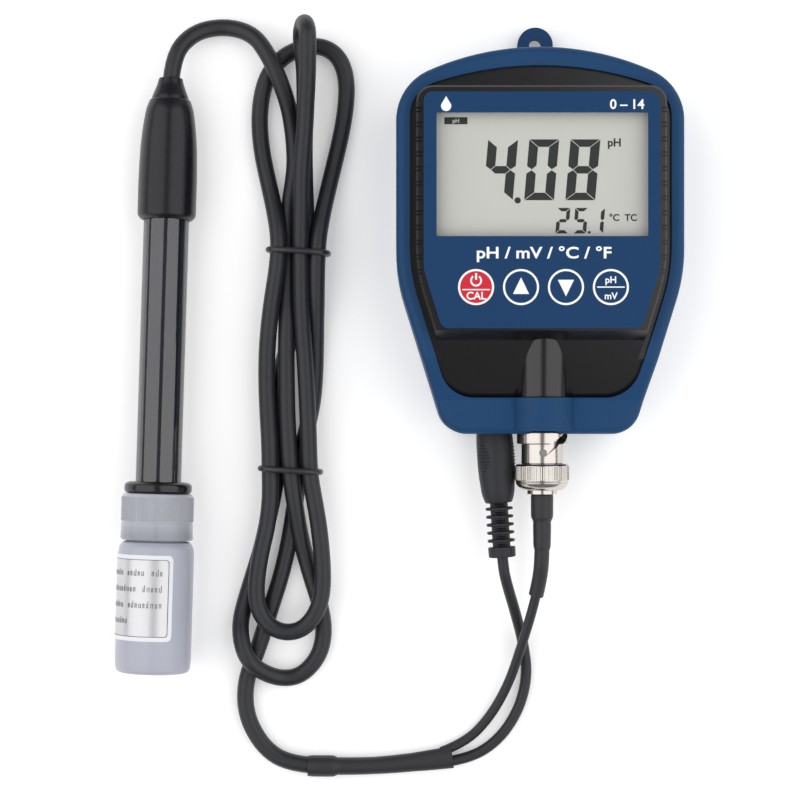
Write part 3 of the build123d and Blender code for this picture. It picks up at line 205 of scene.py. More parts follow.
PH_ROUTE = [
    (SLEEVE_BRANCH_X - 3.0, -135.55, 2.1), (-18.4, -133.2, 1.4), (-11.8, -126.2, 1.7),
    (-6.9, -117.0, 3.4), (-4.0, -107.3, 7.1), (-1.3, -97.8, 10.2), (0.6, -89.0, 12.9),
    (SOCKET_X, -83.3, SOCKET_Z), (SOCKET_X, -77.1, SOCKET_Z),
]
TEMP_ROUTE = [
    (SLEEVE_BRANCH_X - 3.0, -138.4, 2.1), (-18.0, -137.7, 1.5), (-10.0, -133.0, 1.55),
    (-4.3, -124.8, 1.5), (-1.9, -115.4, 1.6), (-3.1, -106.3, 2.6), (-5.4, -97.9, 5.9),
    (-7.7, -90.6, 10.0), on_axis(plug_frame, 37.3), on_axis(plug_frame, 31.7),
]


def nurbs(name, points, radius=0.0):
    """A curve of one open NURBS spline through a route given in millimetres."""
    data = bpy.data.curves.new(name, "CURVE")
    data.dimensions = "3D"
    data.resolution_u = 6
    data.bevel_depth = radius * MM
    data.bevel_resolution = 6
    data.use_fill_caps = radius > 0
    spline = data.splines.new("NURBS")
    spline.points.add(len(points) - 1)
    for point, where in zip(spline.points, points):
        point.co = (where[0] * MM, where[1] * MM, where[2] * MM, 1)
    spline.order_u = 3
    spline.use_endpoint_u = True
    return add_object(name, data)


def route_centres(points):
    """The points along a route's smooth line, in metres."""
    line = nurbs("line", points)
    mesh = plain_mesh(line)
    centres = [vertex.co.copy() for vertex in mesh.vertices]
    bpy.data.objects.remove(line)
    bpy.data.meshes.remove(mesh)
    return centres


def new_object(name, verts, faces, smooth=True, angle=None):
    """A mesh object at the origin, its faces pointing outwards."""
    mesh = bpy.data.meshes.new(name)
    mesh.from_pydata([tuple(v) for v in verts], [], faces)
    work = bmesh.new()
    work.from_mesh(mesh)
    bmesh.ops.remove_doubles(work, verts=work.verts, dist=1e-8)
    bmesh.ops.recalc_face_normals(work, faces=work.faces)
    work.to_mesh(mesh)
    work.free()
    for face in mesh.polygons:
        face.use_smooth = smooth
    if angle is not None:
        mesh.set_sharp_from_angle(angle=math.radians(angle))
    return add_object(name, mesh)


def tube(name, centres, section, sides=24, closed=False, reference=(0, 0, 1)):
    """A tube along centres; section gives the half width and half height at each ring."""
    verts = []
    faces = []
    count = len(centres)
    side = None
    for index, centre in enumerate(centres):
        before = centres[index - 1] if (closed or index) else centre
        after = centres[(index + 1) % count] if (closed or index < count - 1) else centre
        along = (after - before).normalized()
        if side is None:
            side = along.cross(Vector(reference)).normalized()
        side = (side - along * side.dot(along)).normalized()
        up = side.cross(along)
        wide, high = section(index / (count - 1))
        for step in range(sides):
            turn = 2 * math.pi * step / sides
            verts.append(
                centre + side * wide * MM * math.cos(turn) + up * high * MM * math.sin(turn)
            )
    rings = count if closed else count - 1
    for ring in range(rings):
        for step in range(sides):
            a = ring * sides + step
            b = ring * sides + (step + 1) % sides
            c = ((ring + 1) % count) * sides + (step + 1) % sides
            d = ((ring + 1) % count) * sides + step
            faces.append((a, b, c, d))
    if not closed:
        faces.append(tuple(range(sides)))
        faces.append(tuple((count - 1) * sides + step for step in range(sides)))
    return new_object(name, verts, faces, angle=50)


def lathe(name, profile, place, sides=64, angle=35):
    """A turned piece from closed (distance along, radius) points, in millimetres."""
    verts = []
    faces = []
    count = len(profile)
    for along, radius in profile:
        for step in range(sides):
            turn = 2 * math.pi * step / sides
            local = Vector((radius * math.cos(turn), radius * math.sin(turn), along)) * MM
            verts.append(place @ local)
    for index in range(count):
        after = (index + 1) % count
        if profile[index][1] == 0 and profile[after][1] == 0:
            continue
        for step in range(sides):
            turned = (step + 1) % sides
            faces.append((
                index * sides + step, index * sides + turned,
                after * sides + turned, after * sides + step,
            ))
    return new_object(name, verts, faces, angle=angle)


# ---- Materials ----

def srgb(red, green, blue):
    """A colour given in 0 to 255 screen values."""
    def linear(value):
        value = value / 255
        return value / 12.92 if value <= 0.04045 else ((value + 0.055) / 1.055) ** 2.4
    return (linear(red), linear(green), linear(blue), 1.0)


def finish(
    name, colour, rough, spread=0.06, rough_spread=0.08, grain=900.0, depth=0.02,
    tint_scale=35.0, stretch=(1, 1, 1), metal=0.0, specular=0.5, coat=0.0, coat_rough=0.1,
    clear=0.0, alpha=1.0, soft=0.0, ior=1.5,
):
    """A procedural finish: colour that drifts, roughness that varies and a fine grain."""
    material = bpy.data.materials.new(name)
    material.use_nodes = True
    tree = material.node_tree
    shader = tree.nodes["Principled BSDF"]
    shader.inputs["Metallic"].default_value = metal
    shader.inputs["Specular IOR Level"].default_value = specular
    shader.inputs["Coat Weight"].default_value = coat
    shader.inputs["Coat Roughness"].default_value = coat_rough
    shader.inputs["Transmission Weight"].default_value = clear
    shader.inputs["Alpha"].default_value = alpha
    shader.inputs["IOR"].default_value = ior
    if soft:
        shader.inputs["Subsurface Weight"].default_value = soft
        shader.inputs["Subsurface Radius"].default_value = (1.0, 1.0, 1.0)
        shader.inputs["Subsurface Scale"].default_value = 0.003
    where = tree.nodes.new("ShaderNodeTexCoord")
    mapping = tree.nodes.new("ShaderNodeMapping")
    mapping.inputs["Scale"].default_value = stretch
    tree.links.new(where.outputs["Object"], mapping.inputs["Vector"])

    def noise(scale, detail):
        texture = tree.nodes.new("ShaderNodeTexNoise")
        texture.inputs["Scale"].default_value = scale
        texture.inputs["Detail"].default_value = detail
        tree.links.new(mapping.outputs["Vector"], texture.inputs["Vector"])
        return texture.outputs["Fac"]

    drift = noise(tint_scale, 3.0)
    blend = tree.nodes.new("ShaderNodeMix")
    blend.data_type = "RGBA"
    blend.inputs["A"].default_value = [c * (1 - spread) for c in colour[:3]] + [1]
    blend.inputs["B"].default_value = [min(1, c * (1 + spread)) for c in colour[:3]] + [1]
    tree.links.new(drift, blend.inputs["Factor"])
    tree.links.new(blend.outputs["Result"], shader.inputs["Base Color"])
    fine = noise(grain, 2.0)
    levels = tree.nodes.new("ShaderNodeMapRange")
    levels.inputs["To Min"].default_value = max(0.02, rough - rough_spread)
    levels.inputs["To Max"].default_value = min(1.0, rough + rough_spread)
    tree.links.new(fine, levels.inputs["Value"])
    tree.links.new(levels.outputs["Result"], shader.inputs["Roughness"])
    bump = tree.nodes.new("ShaderNodeBump")
    bump.inputs["Strength"].default_value = 0.5
    bump.inputs["Distance"].default_value = depth * MM
    tree.links.new(fine, bump.inputs["Height"])
    tree.links.new(bump.outputs["Normal"], shader.inputs["Normal"])
    return material


rubber_blue = finish("boot_rubber", srgb(25, 64, 104), 0.5, grain=1500, depth=0.03, specular=0.17)
case_black = finish("case_plastic", srgb(13, 13, 16), 0.22, grain=2200, depth=0.006, specular=0.6,
                    rough_spread=0.05)
film_blue = finish("film_ink", srgb(25, 60, 99), 0.5, grain=3000, depth=0.006, specular=0.12,
                   spread=0.03)
key_red = finish("key_red_ink", srgb(205, 45, 58), 0.5, grain=3000, depth=0.006, specular=0.12,
                 spread=0.03)
ink_white = finish("ink_white", srgb(245, 246, 248), 0.5, grain=3000, depth=0.004, specular=0.2,
                   spread=0.02)
window_clear = finish("window_clear", (0.02, 0.02, 0.02, 1), 0.08, spread=0.01, depth=0.001,
                      alpha=0.06, rough_spread=0.02)
lcd_grey = finish("lcd_grey", srgb(215, 215, 209), 0.6, grain=2600, depth=0.004, specular=0.15,
                  spread=0.02, tint_scale=25)
lcd_ink = finish("lcd_segment", srgb(58, 62, 60), 0.6, grain=2600, depth=0.004, specular=0.1,
                 spread=0.05)
steel = finish("plated_steel", srgb(190, 190, 188), 0.3, metal=1.0, grain=1400, depth=0.01)
nickel = finish("turned_nickel", srgb(200, 194, 188), 0.19, metal=1.0, grain=1800, depth=0.006,
                rough_spread=0.05, stretch=(1, 6, 1))
brass = finish("gold_plate", srgb(212, 175, 90), 0.22, metal=1.0, grain=1500, depth=0.006)
insulator_white = finish("insulator_white", srgb(232, 232, 226), 0.45, soft=0.2)
gasket_red = finish("gasket_rubber", srgb(170, 80, 60), 0.6)
cord_black = finish("cord_jacket", srgb(34, 35, 40), 0.42, grain=1300, depth=0.03, specular=0.4,
                    spread=0.12)
shrink_black = finish("shrink_tube", srgb(42, 42, 46), 0.45, grain=700, depth=0.06, specular=0.35,
                      spread=0.1)
plug_black = finish("plug_moulding", srgb(36, 37, 42), 0.5, grain=1700, depth=0.04, specular=0.35)
# Painted shade: near-black for the openings in the plug's relief.
relief_painted_shade = finish("relief_window_painted_shade", srgb(8, 8, 14), 0.35, specular=0.3)
tie_black = finish("tie_jacket", srgb(40, 40, 45), 0.35, grain=900, depth=0.02)
handle_black = finish("handle_plastic", srgb(13, 13, 21), 0.3, grain=1500, depth=0.012,
                      specular=0.4)
tube_smoke = finish("smoky_tube", srgb(22, 22, 32), 0.06, grain=500, depth=0.002, alpha=0.72,
                    rough_spread=0.02, specular=1.0, ior=1.62)
stem_glass = finish("stem_glass", srgb(190, 192, 200), 0.15, alpha=0.65, depth=0.002)
silver = finish("silver_wire", srgb(205, 205, 200), 0.3, metal=1.0)
epoxy = finish("epoxy_grey", srgb(70, 70, 74), 0.4)
seal_rubber = finish("seal_rubber", srgb(20, 20, 24), 0.2, grain=700, depth=0.02, specular=0.5)
bottle_milky = finish("milky_plastic", srgb(172, 174, 187), 0.3, grain=260, depth=0.0005,
                      rough_spread=0.03, spread=0.05, tint_scale=60, specular=0.4)
cap_milky = finish("cap_plastic", srgb(180, 182, 192), 0.22, grain=300, depth=0.001, soft=0.35,
                   rough_spread=0.03, spread=0.05, tint_scale=60, specular=0.45)
label_silver = finish("label_silver", srgb(206, 206, 208), 0.32, metal=0.55, grain=900,
                      depth=0.004, spread=0.16, tint_scale=120, stretch=(1, 0.05, 1))
label_ink = finish("label_ink", srgb(92, 90, 92), 0.5)
label_margin = finish("label_margin", srgb(228, 230, 236), 0.4, depth=0.004)
liquid_clear = finish("liquid_clear", srgb(225, 230, 235), 0.05, alpha=0.3, depth=0.001)
board_green = finish("board_mask", srgb(28, 92, 52), 0.35, grain=1200, depth=0.02, coat=0.3)
chip_black = finish("chip_moulding", srgb(32, 32, 34), 0.5)
frame_white = finish("frame_plastic", srgb(215, 215, 210), 0.5)
zebra_grey = finish("zebra_rubber", srgb(150, 150, 152), 0.6, stretch=(40, 1, 1), spread=0.5,
                    tint_scale=60)
cell_jacket = finish("cell_jacket", srgb(40, 44, 60), 0.3, coat=0.4)
wire_red = finish("wire_red", srgb(190, 30, 30), 0.4)
wire_black = finish("wire_black", srgb(25, 25, 25), 0.4)
wire_grey = finish("wire_grey", srgb(120, 120, 125), 0.4)


def paint(material, *names):
    """Give a finish to CAD nodes."""
    for name in names:
        nodes[name].data.materials.clear()
        nodes[name].data.materials.append(material)


paint(rubber_blue, "boot")
paint(case_black, "front_case", "rear_case", "battery_door")
paint(film_blue, "overlay", "key_up", "key_down", "key_mode")
paint(key_red, "key_power")
paint(window_clear, "window_lens")
paint(lcd_grey, "lcd_glass")
paint(frame_white, "lcd_frame")
paint(zebra_grey, "zebra_strips")
paint(board_green, "main_board")
paint(chip_black, "board_parts")
paint(steel, "board_screws", "case_screws", "battery_contacts")
paint(cell_jacket, "battery_cells")
paint(wire_red, "lead_red")
paint(wire_black, "lead_black")
paint(wire_grey, "signal_leads")
paint(nickel, "bnc_jack_shell", "bnc_jack_nut", "bnc_plug_body", "temp_plug_pin")
paint(brass, "bnc_jack_contact", "bnc_plug_pin")
paint(insulator_white, "bnc_jack_insulator", "bnc_plug_insulator")
paint(gasket_red, "bnc_gasket")
paint(plug_black, "temp_jack")
paint(tube_smoke, "probe_tube")
paint(stem_glass, "probe_stem")
paint(silver, "probe_wire")
paint(epoxy, "probe_junction", "temp_sensor")
paint(liquid_clear, "storage_solution")

# ---- Cords ----

main_cord = nurbs("main_cord", MAIN_ROUTE, CORD / 2)
fit_out(main_cord, cord_black, "meter", "cord", "cord_probe_end", "cord_hank", "cord_tail")


def make_y_sleeve():
    """The shrunk sleeve: a collar over the cord, a long neck, and a flat end for two branches."""
    route = [
        (-60.6, -139.2, 2.9), (-54.7, -139.25, 2.9), (-48.8, -139.3, 2.8), (-42.7, -139.2, 2.5),
        (-36.0, -138.7, 2.4), (-28.8, -137.9, 2.25), (SLEEVE_BRANCH_X, -137.0, 2.15),
    ]
    stations = [
        (0.0, 2.7, 2.7), (0.015, 2.85, 2.85), (0.14, 2.85, 2.85), (0.17, 2.35, 2.35),
        (0.5, 2.3, 2.3), (0.8, 2.5, 2.0), (1.0, 2.95, 1.75),
    ]

    def section(share):
        for low, high in zip(stations, stations[1:]):
            if share <= high[0]:
                mix = (share - low[0]) / (high[0] - low[0])
                return tuple(low[k] + (high[k] - low[k]) * mix for k in (1, 2))
        return stations[-1][1:]

    return tube("branch_sleeve", route_centres(route), section, sides=32)


y_sleeve = make_y_sleeve()
fit_out(y_sleeve, shrink_black, "meter", "sleeve", "y_sleeve")


def make_tie(name, x, y, node):
    """A wire tie bent once round the strands, from just above the floor to over the top run."""
    half_width, low, top = 7.9, 0.8, 10.3
    skew = 0.5
    squareness = 0.6
    steps = 64
    middle = (top + low) / 2
    half_height = (top - low) / 2
    centres = []
    for step in range(steps):
        turn = 2 * math.pi * step / steps
        across = math.copysign(abs(math.cos(turn)) ** squareness, math.cos(turn))
        rise = math.copysign(abs(math.sin(turn)) ** squareness, math.sin(turn))
        centres.append(Vector((
            x + half_width * across, y - skew * across, middle + half_height * rise,
        )) * MM)
    tie = tube(name, centres, lambda share: (TIE / 2, TIE / 2), 16, True, (0, 1, 0))
    return fit_out(tie, tie_black, "meter", "tie", node)


tie_upper = make_tie("tie_wire_upper", -63.0, -2.2, "tie_upper")
tie_lower = make_tie("tie_wire_lower", -65.1, -60.2, "tie_lower")


def make_branch(name, route, diameter, node):
    """A thin branch of the cord, and the line of its middle."""
    centres = route_centres(route)
    radius = diameter / 2
    branch = tube(name, centres, lambda share: (radius, radius), sides=20)
    branch.data.materials.append(cord_black)
    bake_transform(branch)
    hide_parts(node)
    return branch, centres


ph_branch, ph_path = make_branch(
    "ph_branch", PH_ROUTE, PH_BRANCH, "branch_ph"
)
temp_branch, temp_path = make_branch(
    "temp_branch", TEMP_ROUTE, TEMP_BRANCH, "branch_temp"
)


# ---- Turned pieces ----

def rounded(points, steps=6):
    """A profile with each (along, radius, round) corner rounded by its own radius."""
    out = []
    count = len(points)
    for index, (along, radius, round_off) in enumerate(points):
        here = Vector((along, radius))
        if not round_off:
            out.append((along, radius))
            continue
        before = Vector(points[index - 1][:2]) - here
        after = Vector(points[(index + 1) % count][:2]) - here
        reach = min(round_off, before.length * 0.49, after.length * 0.49)
        first = here + before.normalized() * reach
        last = here + after.normalized() * reach
        for step in range(steps + 1):
            mix = step / steps
            spot = first * (1 - mix) ** 2 + here * 2 * mix * (1 - mix) + last * mix ** 2
            out.append((spot.x, spot.y))
    return out


def turned_piece(name, points, place, material, body, slot, node, sides=96):
    """A finely turned piece in place of a CAD node."""
    obj = lathe(name, rounded(points), place, sides)
    return fit_out(obj, material, body, slot, node)


def shade_along(material, place, start, stop, dark):
    """Paint shade into a finish: darken its colour smoothly between two distances along a placed
    axis.
    """
    tree = material.node_tree
    base = tree.nodes["Principled BSDF"].inputs["Base Color"]
    axis = place.to_3x3() @ Vector((0, 0, 1))
    foot = place.translation.dot(axis)
    where = tree.nodes.new("ShaderNodeTexCoord")
    along = tree.nodes.new("ShaderNodeVectorMath")
    along.operation = "DOT_PRODUCT"
    along.inputs[1].default_value = axis
    ramp = tree.nodes.new("ShaderNodeMapRange")
    ramp.inputs["From Min"].default_value = foot + start * MM
    ramp.inputs["From Max"].default_value = foot + stop * MM
    ramp.inputs["To Min"].default_value = 1.0
    ramp.inputs["To Max"].default_value = dark
    shade = tree.nodes.new("ShaderNodeMix")
    shade.data_type = "RGBA"
    shade.blend_type = "MULTIPLY"
    shade.inputs["Factor"].default_value = 1.0
    tree.links.new(where.outputs["Object"], along.inputs[0])
    tree.links.new(along.outputs["Value"], ramp.inputs["Value"])
    tree.links.new(base.links[0].from_socket, shade.inputs["A"])
    tree.links.new(ramp.outputs["Result"], shade.inputs["B"])
    tree.links.new(shade.outputs["Result"], base)


def make_probe_pieces():
    """The collar, handle, seal, cap and bottle, turned finely with rounded edges."""
    bore = CORD / 2 + 0.02
    turned_piece("handle_collar", [
        (0.3, bore, 0), (0.0, 3.1, 0.5), (1.8, 3.5, 1.0), (5.0, 4.75, 0.6), (5.8, 4.9, 0),
        (5.8, bore, 0),
    ], probe_frame, handle_black, "meter", "handle", "probe_relief")
    turned_piece("handle", [
        (5.8, bore, 0), (5.8, 5.3, 0.5), (8.5, 6.3, 1.2), (14.0, 7.1, 3.0), (19.0, 7.5, 3.0),
        (27.0, 7.75, 4.0), (36.8, 7.7, 1.6), (37.9, 6.5, 0.4), (37.3, 6.05, 0.2), (32.0, 6.02, 0),
        (32.0, 4.6, 0), (14.0, 4.6, 0), (9.0, bore, 0),
    ], probe_frame, handle_black, "meter", "handle", "probe_handle")
    turned_piece("seal", [
        (107.0, 6.02, 0), (106.9, 7.4, 0.3), (107.5, 8.9, 1.3), (109.8, 8.9, 1.2),
        (110.0, 7.2, 0), (111.6, 7.2, 0), (111.6, 7.88, 0.1), (113.0, 7.88, 0.2),
        (113.0, 6.02, 0),
    ], probe_frame, seal_rubber, "cap", "seal", "cap_seal")
    turned_piece("screw_cap", [
        (110.0, 7.22, 0), (110.02, 9.0, 0.6), (111.0, 9.42, 0.4), (117.4, 9.42, 0.1),
        (117.7, 9.3, 0.1), (118.0, 9.44, 0.1), (119.2, 9.4, 0.2), (119.5, 9.46, 0.2),
        (122.0, 9.52, 0.5), (122.3, 9.0, 0.2), (122.3, 8.57, 0), (111.6, 8.57, 0),
        (111.6, 7.22, 0),
    ], probe_frame, cap_milky, "cap", "cap", "bottle_cap")
    turned_piece("bottle", [
        (113.02, 6.92, 0), (113.02, 7.88, 0.3), (122.6, 7.88, 0.2), (122.7, 8.7, 0.5),
        (124.0, 9.75, 1.6), (126.0, 9.98, 1.5), (153.9, 9.98, 0.6), (157.08, 9.7, 3.2),
        (157.05, 5.0, 1.0), (156.2, 0, 0), (155.4, 0, 0), (156.0, 6.1, 0.5), (155.9, 8.98, 2.2),
        (126.0, 8.98, 0.8), (123.6, 7.6, 0.6), (123.2, 6.92, 0.2),
    ], probe_frame, bottle_milky, "bottle", "bottle", "storage_bottle", 112)


def make_domes():
    """The four snap domes on the board."""
    rim, rise, sheet = 4.0, 0.6, 0.15
    steps = 6
    ball = (rim**2 + rise**2) / (2 * rise)

    def crown(drop, radius):
        return math.sqrt((ball - drop) ** 2 - radius**2) - ball + rise

    inner_rim = math.sqrt((ball - sheet) ** 2 - (ball - rise) ** 2)
    shares = [step / steps for step in range(steps + 1)]
    inside = [(crown(sheet, inner_rim * share), inner_rim * share, 0) for share in shares]
    outside = [(crown(0, rim * share), rim * share, 0) for share in reversed(shares)]
    for x, name in zip(KEY_X, KEY_NAMES):
        foot = Vector((x, KEY_Y, BOARD_TOP)) * MM
        dome = turned_piece("snap_dome_" + name, inside + outside, Matrix.Translation(foot), steel,
                            "meter", "dome", "dome_" + name, 32)
        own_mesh(dome)


def slot_cutter(side):
    """A solid ribbon along one helical slot, from the lug to beyond the ring's front."""
    half_width = 1.05
    middle_radius, inner_reach, outer_reach = 5.45, 3.4, 8.4
    lug_y = -55.3
    slot_length, quarter_turn_lead = 8.0, 6.1
    run = Vector((middle_radius * math.radians(90) / quarter_turn_lead * slot_length, slot_length))
    along = run.normalized()
    across = Vector((-along.y, along.x)) * half_width
    pairs = []
    for step in range(7):
        turn = math.radians(90 - 15 * step)
        back = along * -half_width * math.sin(turn)
        pairs.append((back + across * math.cos(turn), back - across * math.cos(turn)))
    for step in range(1, 25):
        spot = run * step / 24
        pairs.append((spot + across, spot - across))
    verts = []
    for pair in pairs:
        for spot in pair:
            for reach in (inner_reach, outer_reach):
                turn = spot.x / middle_radius + (math.pi if side else 0)
                verts.append(Vector((
                    SOCKET_X + reach * math.sin(turn), lug_y + spot.y,
                    SOCKET_Z + reach * math.cos(turn),
                )) * MM)
    faces = [(0, 1, 3, 2)]
    for pair_index in range(len(pairs) - 1):
        n = 4 * pair_index
        faces += [(n, n + 4, n + 5, n + 1), (n + 2, n + 3, n + 7, n + 6),
                  (n, n + 2, n + 6, n + 4), (n + 1, n + 5, n + 7, n + 3)]
    n = 4 * (len(pairs) - 1)
    faces.append((n, n + 2, n + 3, n + 1))
    return new_object("slot", verts, faces)


def cut_slots(ring):
    """Cut the two helical slots that the socket's lugs run in."""
    for side in (0, 1):
        tool = slot_cutter(side)
        cut = ring.modifiers.new("slots", "BOOLEAN")
        cut.operation = "DIFFERENCE"
        cut.solver = "EXACT"
        cut.object = tool
        done = plain_mesh(ring)
        ring.modifiers.clear()
        ring.data = done
        bpy.data.objects.remove(tool)
    ring.data.set_sharp_from_angle(angle=math.radians(35))


def make_connector_pieces():
    """The bayonet ring with its slots, and the smooth parts of the socket and plug."""
    ring = lathe("bayonet_ring", rounded([
        (49.6, 5.0, 0), (49.6, 6.3, 0.15), (50.0, 6.6, 0.3), (52.9, 6.6, 0.2), (53.1, 6.3, 0.1),
        (53.1, 5.45, 0.1), (58.1, 5.45, 0.2), (58.3, 6.6, 0.3), (58.75, 7.0, 0.2),
        (62.6, 7.0, 0.3), (63.0, 6.75, 0.15), (63.2, 6.9, 0.4), (64.2, 6.4, 0.8),
        (65.1, 5.2, 0.4), (65.1, 4.05, 0), (64.1, 4.05, 0), (64.1, 5.0, 0),
    ]), socket_frame, 112)
    ring.data.materials.append(nickel)
    cut_slots(ring)
    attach(ring, "locking_ring")
    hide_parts("bnc_ring")
    crimp = turned_piece("crimp_sleeve", [
        (66.1, 1.35, 0), (66.12, 2.75, 0.3), (66.6, 2.95, 0.3), (72.2, 2.92, 0.6),
        (73.4, 2.3, 0.6), (74.2, 2.38, 0.5), (79.6, 2.3, 0.5), (80.7, 2.05, 0.2), (80.7, 1.35, 0),
    ], socket_frame, shrink_black, "probe_plug", "sleeve", "bnc_sleeve", 48)
    plug = turned_piece("moulded_plug", [
        (0.0, 1.9, 0), (0.05, 4.45, 0.2), (0.6, 4.6, 0.5), (4.5, 4.88, 1.5), (12.0, 4.88, 2.0),
        (18.0, 4.3, 1.5), (20.2, 3.5, 0.4), (20.3, 1.52, 0),
    ], plug_frame, plug_black, "temp_plug", "plug", "temp_plug_body", 72)
    relief = [(20.3, 1.52, 0), (20.3, 2.35, 0)]
    for index in range(5):
        start = 21.3 + 2.1 * index
        relief += [(start, 2.35, 0.1), (start + 0.1, 3.6, 0.3), (start + 0.8, 3.6, 0.3),
                   (start + 0.9, 2.35, 0.1)]
    relief += [(31.8, 2.35, 0.1), (31.85, 3.6, 0.2), (34.5, 3.55, 0.4), (34.7, 1.52, 0)]
    fins = turned_piece("finned_relief", relief, plug_frame, plug_black, "temp_plug", "plug",
                        "temp_relief", 48)
    cover_share = 20.0 / 70.0
    cover_radius = 1.98
    inside_crimp_y = -0.0785
    start = int(len(ph_path) * (1 - cover_share))
    stop = max(k for k, spot in enumerate(ph_path) if spot.y < inside_crimp_y)
    cover = tube("branch_cover", ph_path[start:stop], lambda part: (cover_radius, cover_radius), 28)
    cover.data.materials.append(shrink_black)
    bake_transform(cover)
    return ring, crimp, plug, fins, cover


make_probe_pieces()
# Painted shade: the cap's colour darkens towards its bottom end.
shade_along(cap_milky, probe_frame, 116.5, 121.0, 0.66)
make_domes()
bayonet_ring, crimp_sleeve, moulded_plug, finned_relief, plug_cover = make_connector_pieces()
main_path = route_centres(MAIN_ROUTE)

# ---- Printing ----

def print_mesh(name, material, body, verts, faces, low, high, slot):
    """A printed mark: flat faces in millimetres given a film's thickness, with a wall round them."""
    count = len(verts)
    first_at = {}
    same = [first_at.setdefault((round(x, 5), round(y, 5)), k) for k, (x, y) in enumerate(verts)]
    walls = {}
    for face in faces:
        corners = [same[k] for k in face]
        for start, end in zip(corners, corners[1:] + corners[:1]):
            edge = (min(start, end), max(start, end))
            if edge in walls:
                del walls[edge]
            elif start != end:
                walls[edge] = (start, end, end + count, start + count)
    solid = [Vector((x, y, height)) * MM for height in (low, high) for x, y in verts]
    roof = [tuple(k + count for k in face) for face in faces]
    mark = new_object(name, solid, list(faces) + roof + list(walls.values()), smooth=False)
    return fit_out(mark, material, body, slot)


def legend(name, text, x, y, cap, material, body, low, slot, align="CENTER", bold=0.02, wide=1.0):
    """A line of lettering made a mesh: x and y of its baseline, and its capitals' height."""
    capitals_share = 0.729
    thickness = 0.02
    data = bpy.data.curves.new(name, "FONT")
    data.body = text
    data.align_x = align
    data.size = cap / capitals_share * MM
    data.offset = bold * data.size
    data.extrude = thickness * MM
    data.resolution_u = 6
    temp = add_object(name, data)
    mesh = plain_mesh(temp)
    bpy.data.objects.remove(temp)
    mesh.transform(Matrix.Diagonal((wide, 1, 1, 1)))
    mesh.transform(Matrix.Translation(Vector((x, y, low + thickness)) * MM))
    mesh.name = name
    mesh.materials.clear()
    return fit_out(add_object(name, mesh), material, body, slot)


def disc_ring(x, y, outer, inner, start=0.0, end=360.0, sides=72):
    """The points and faces of a flat ring or part of one."""
    steps = max(3, int(sides * (end - start) / 360))
    verts = []
    for step in range(steps + 1):
        turn = math.radians(start + (end - start) * step / steps)
        for radius in (inner, outer):
            verts.append((x + radius * math.cos(turn), y + radius * math.sin(turn)))
    faces = [(2 * k, 2 * k + 1, 2 * k + 3, 2 * k + 2) for k in range(steps)]
    return verts, faces


def bar(x0, x1, y0, y1):
    """The points and face of a flat rectangle."""
    return [(x0, y0), (x1, y0), (x1, y1), (x0, y1)], [(0, 1, 2, 3)]


def joined(*shapes):
    """Several flat shapes as one."""
    verts = []
    faces = []
    for more, sides in shapes:
        faces += [tuple(k + len(verts) for k in side) for side in sides]
        verts += more
    return verts, faces


INK = FILM_TOP + 0.04
PRINT_FOOT = FILM_TOP - 0.02


def make_key_prints():
    """The white rings and symbols on the four keys."""
    for x, name in zip(KEY_X, KEY_NAMES):
        shapes = [disc_ring(x, KEY_Y, 4.58, 4.05)]
        if name == "power":
            shapes.append(disc_ring(x, -11.3, 1.5, 1.05, 125, 415))
            shapes.append(bar(x - 0.25, x + 0.25, -11.1, -9.4))
            shapes.append(bar(x - 3.5, x + 3.5, -13.75, -13.45))
        if name == "up":
            shapes.append(([(x - 2.05, -14.7), (x + 2.05, -14.7), (x, -10.5)], [(0, 1, 2)]))
        if name == "down":
            shapes.append(([(x - 2.05, -11.1), (x, -15.3), (x + 2.05, -11.1)], [(0, 1, 2)]))
        if name == "mode":
            shapes.append(bar(x - 3.5, x + 3.5, -13.1, -12.8))
        verts, faces = joined(*shapes)
        print_mesh(f"print_{name}", ink_white, f"key_{name}_body", verts, faces, PRINT_FOOT, INK,
                   "key_red" if name == "power" else "key_blue")
    for name, text, x, y, cap, key, slot in (
        ("legend_cal", "CAL", KEY_X[0], -16.05, 1.95, "power", "key_red"),
        ("legend_ph", "pH", KEY_X[3], -11.9, 1.75, "mode", "key_blue"),
        ("legend_mv", "mV", KEY_X[3], -16.0, 1.75, "mode", "key_blue"),
    ):
        legend(name, text, x, y, cap, ink_white, f"key_{key}_body", FILM_TOP, slot)


def make_film_prints():
    """The plain legends and the droplet on the film."""
    legend("legend_units", "pH / mV / °C / °F", 0.5, -5.6, 2.95, ink_white, "meter", FILM_TOP,
           "film", wide=1.2)
    legend("legend_range", "0 – 14", 26.0, 32.3, 2.5, ink_white, "meter", FILM_TOP, "film", "RIGHT")
    drop_x, tip_y, belly_y, belly = -24.3, 35.5, 33.0, 1.3
    verts = [(drop_x, tip_y)]
    for step in range(25):
        turn = math.radians(40 - 260 * step / 24)
        verts.append((drop_x + belly * math.cos(turn), belly_y + belly * math.sin(turn)))
    faces = [tuple(range(len(verts)))]
    print_mesh("print_droplet", ink_white, "meter", verts, faces, PRINT_FOOT, INK, "film")


SEGMENTS = {
    "0": "abcdef", "1": "bc", "2": "abged", "4": "fgbc", "5": "afgcd", "8": "abcdefg",
}


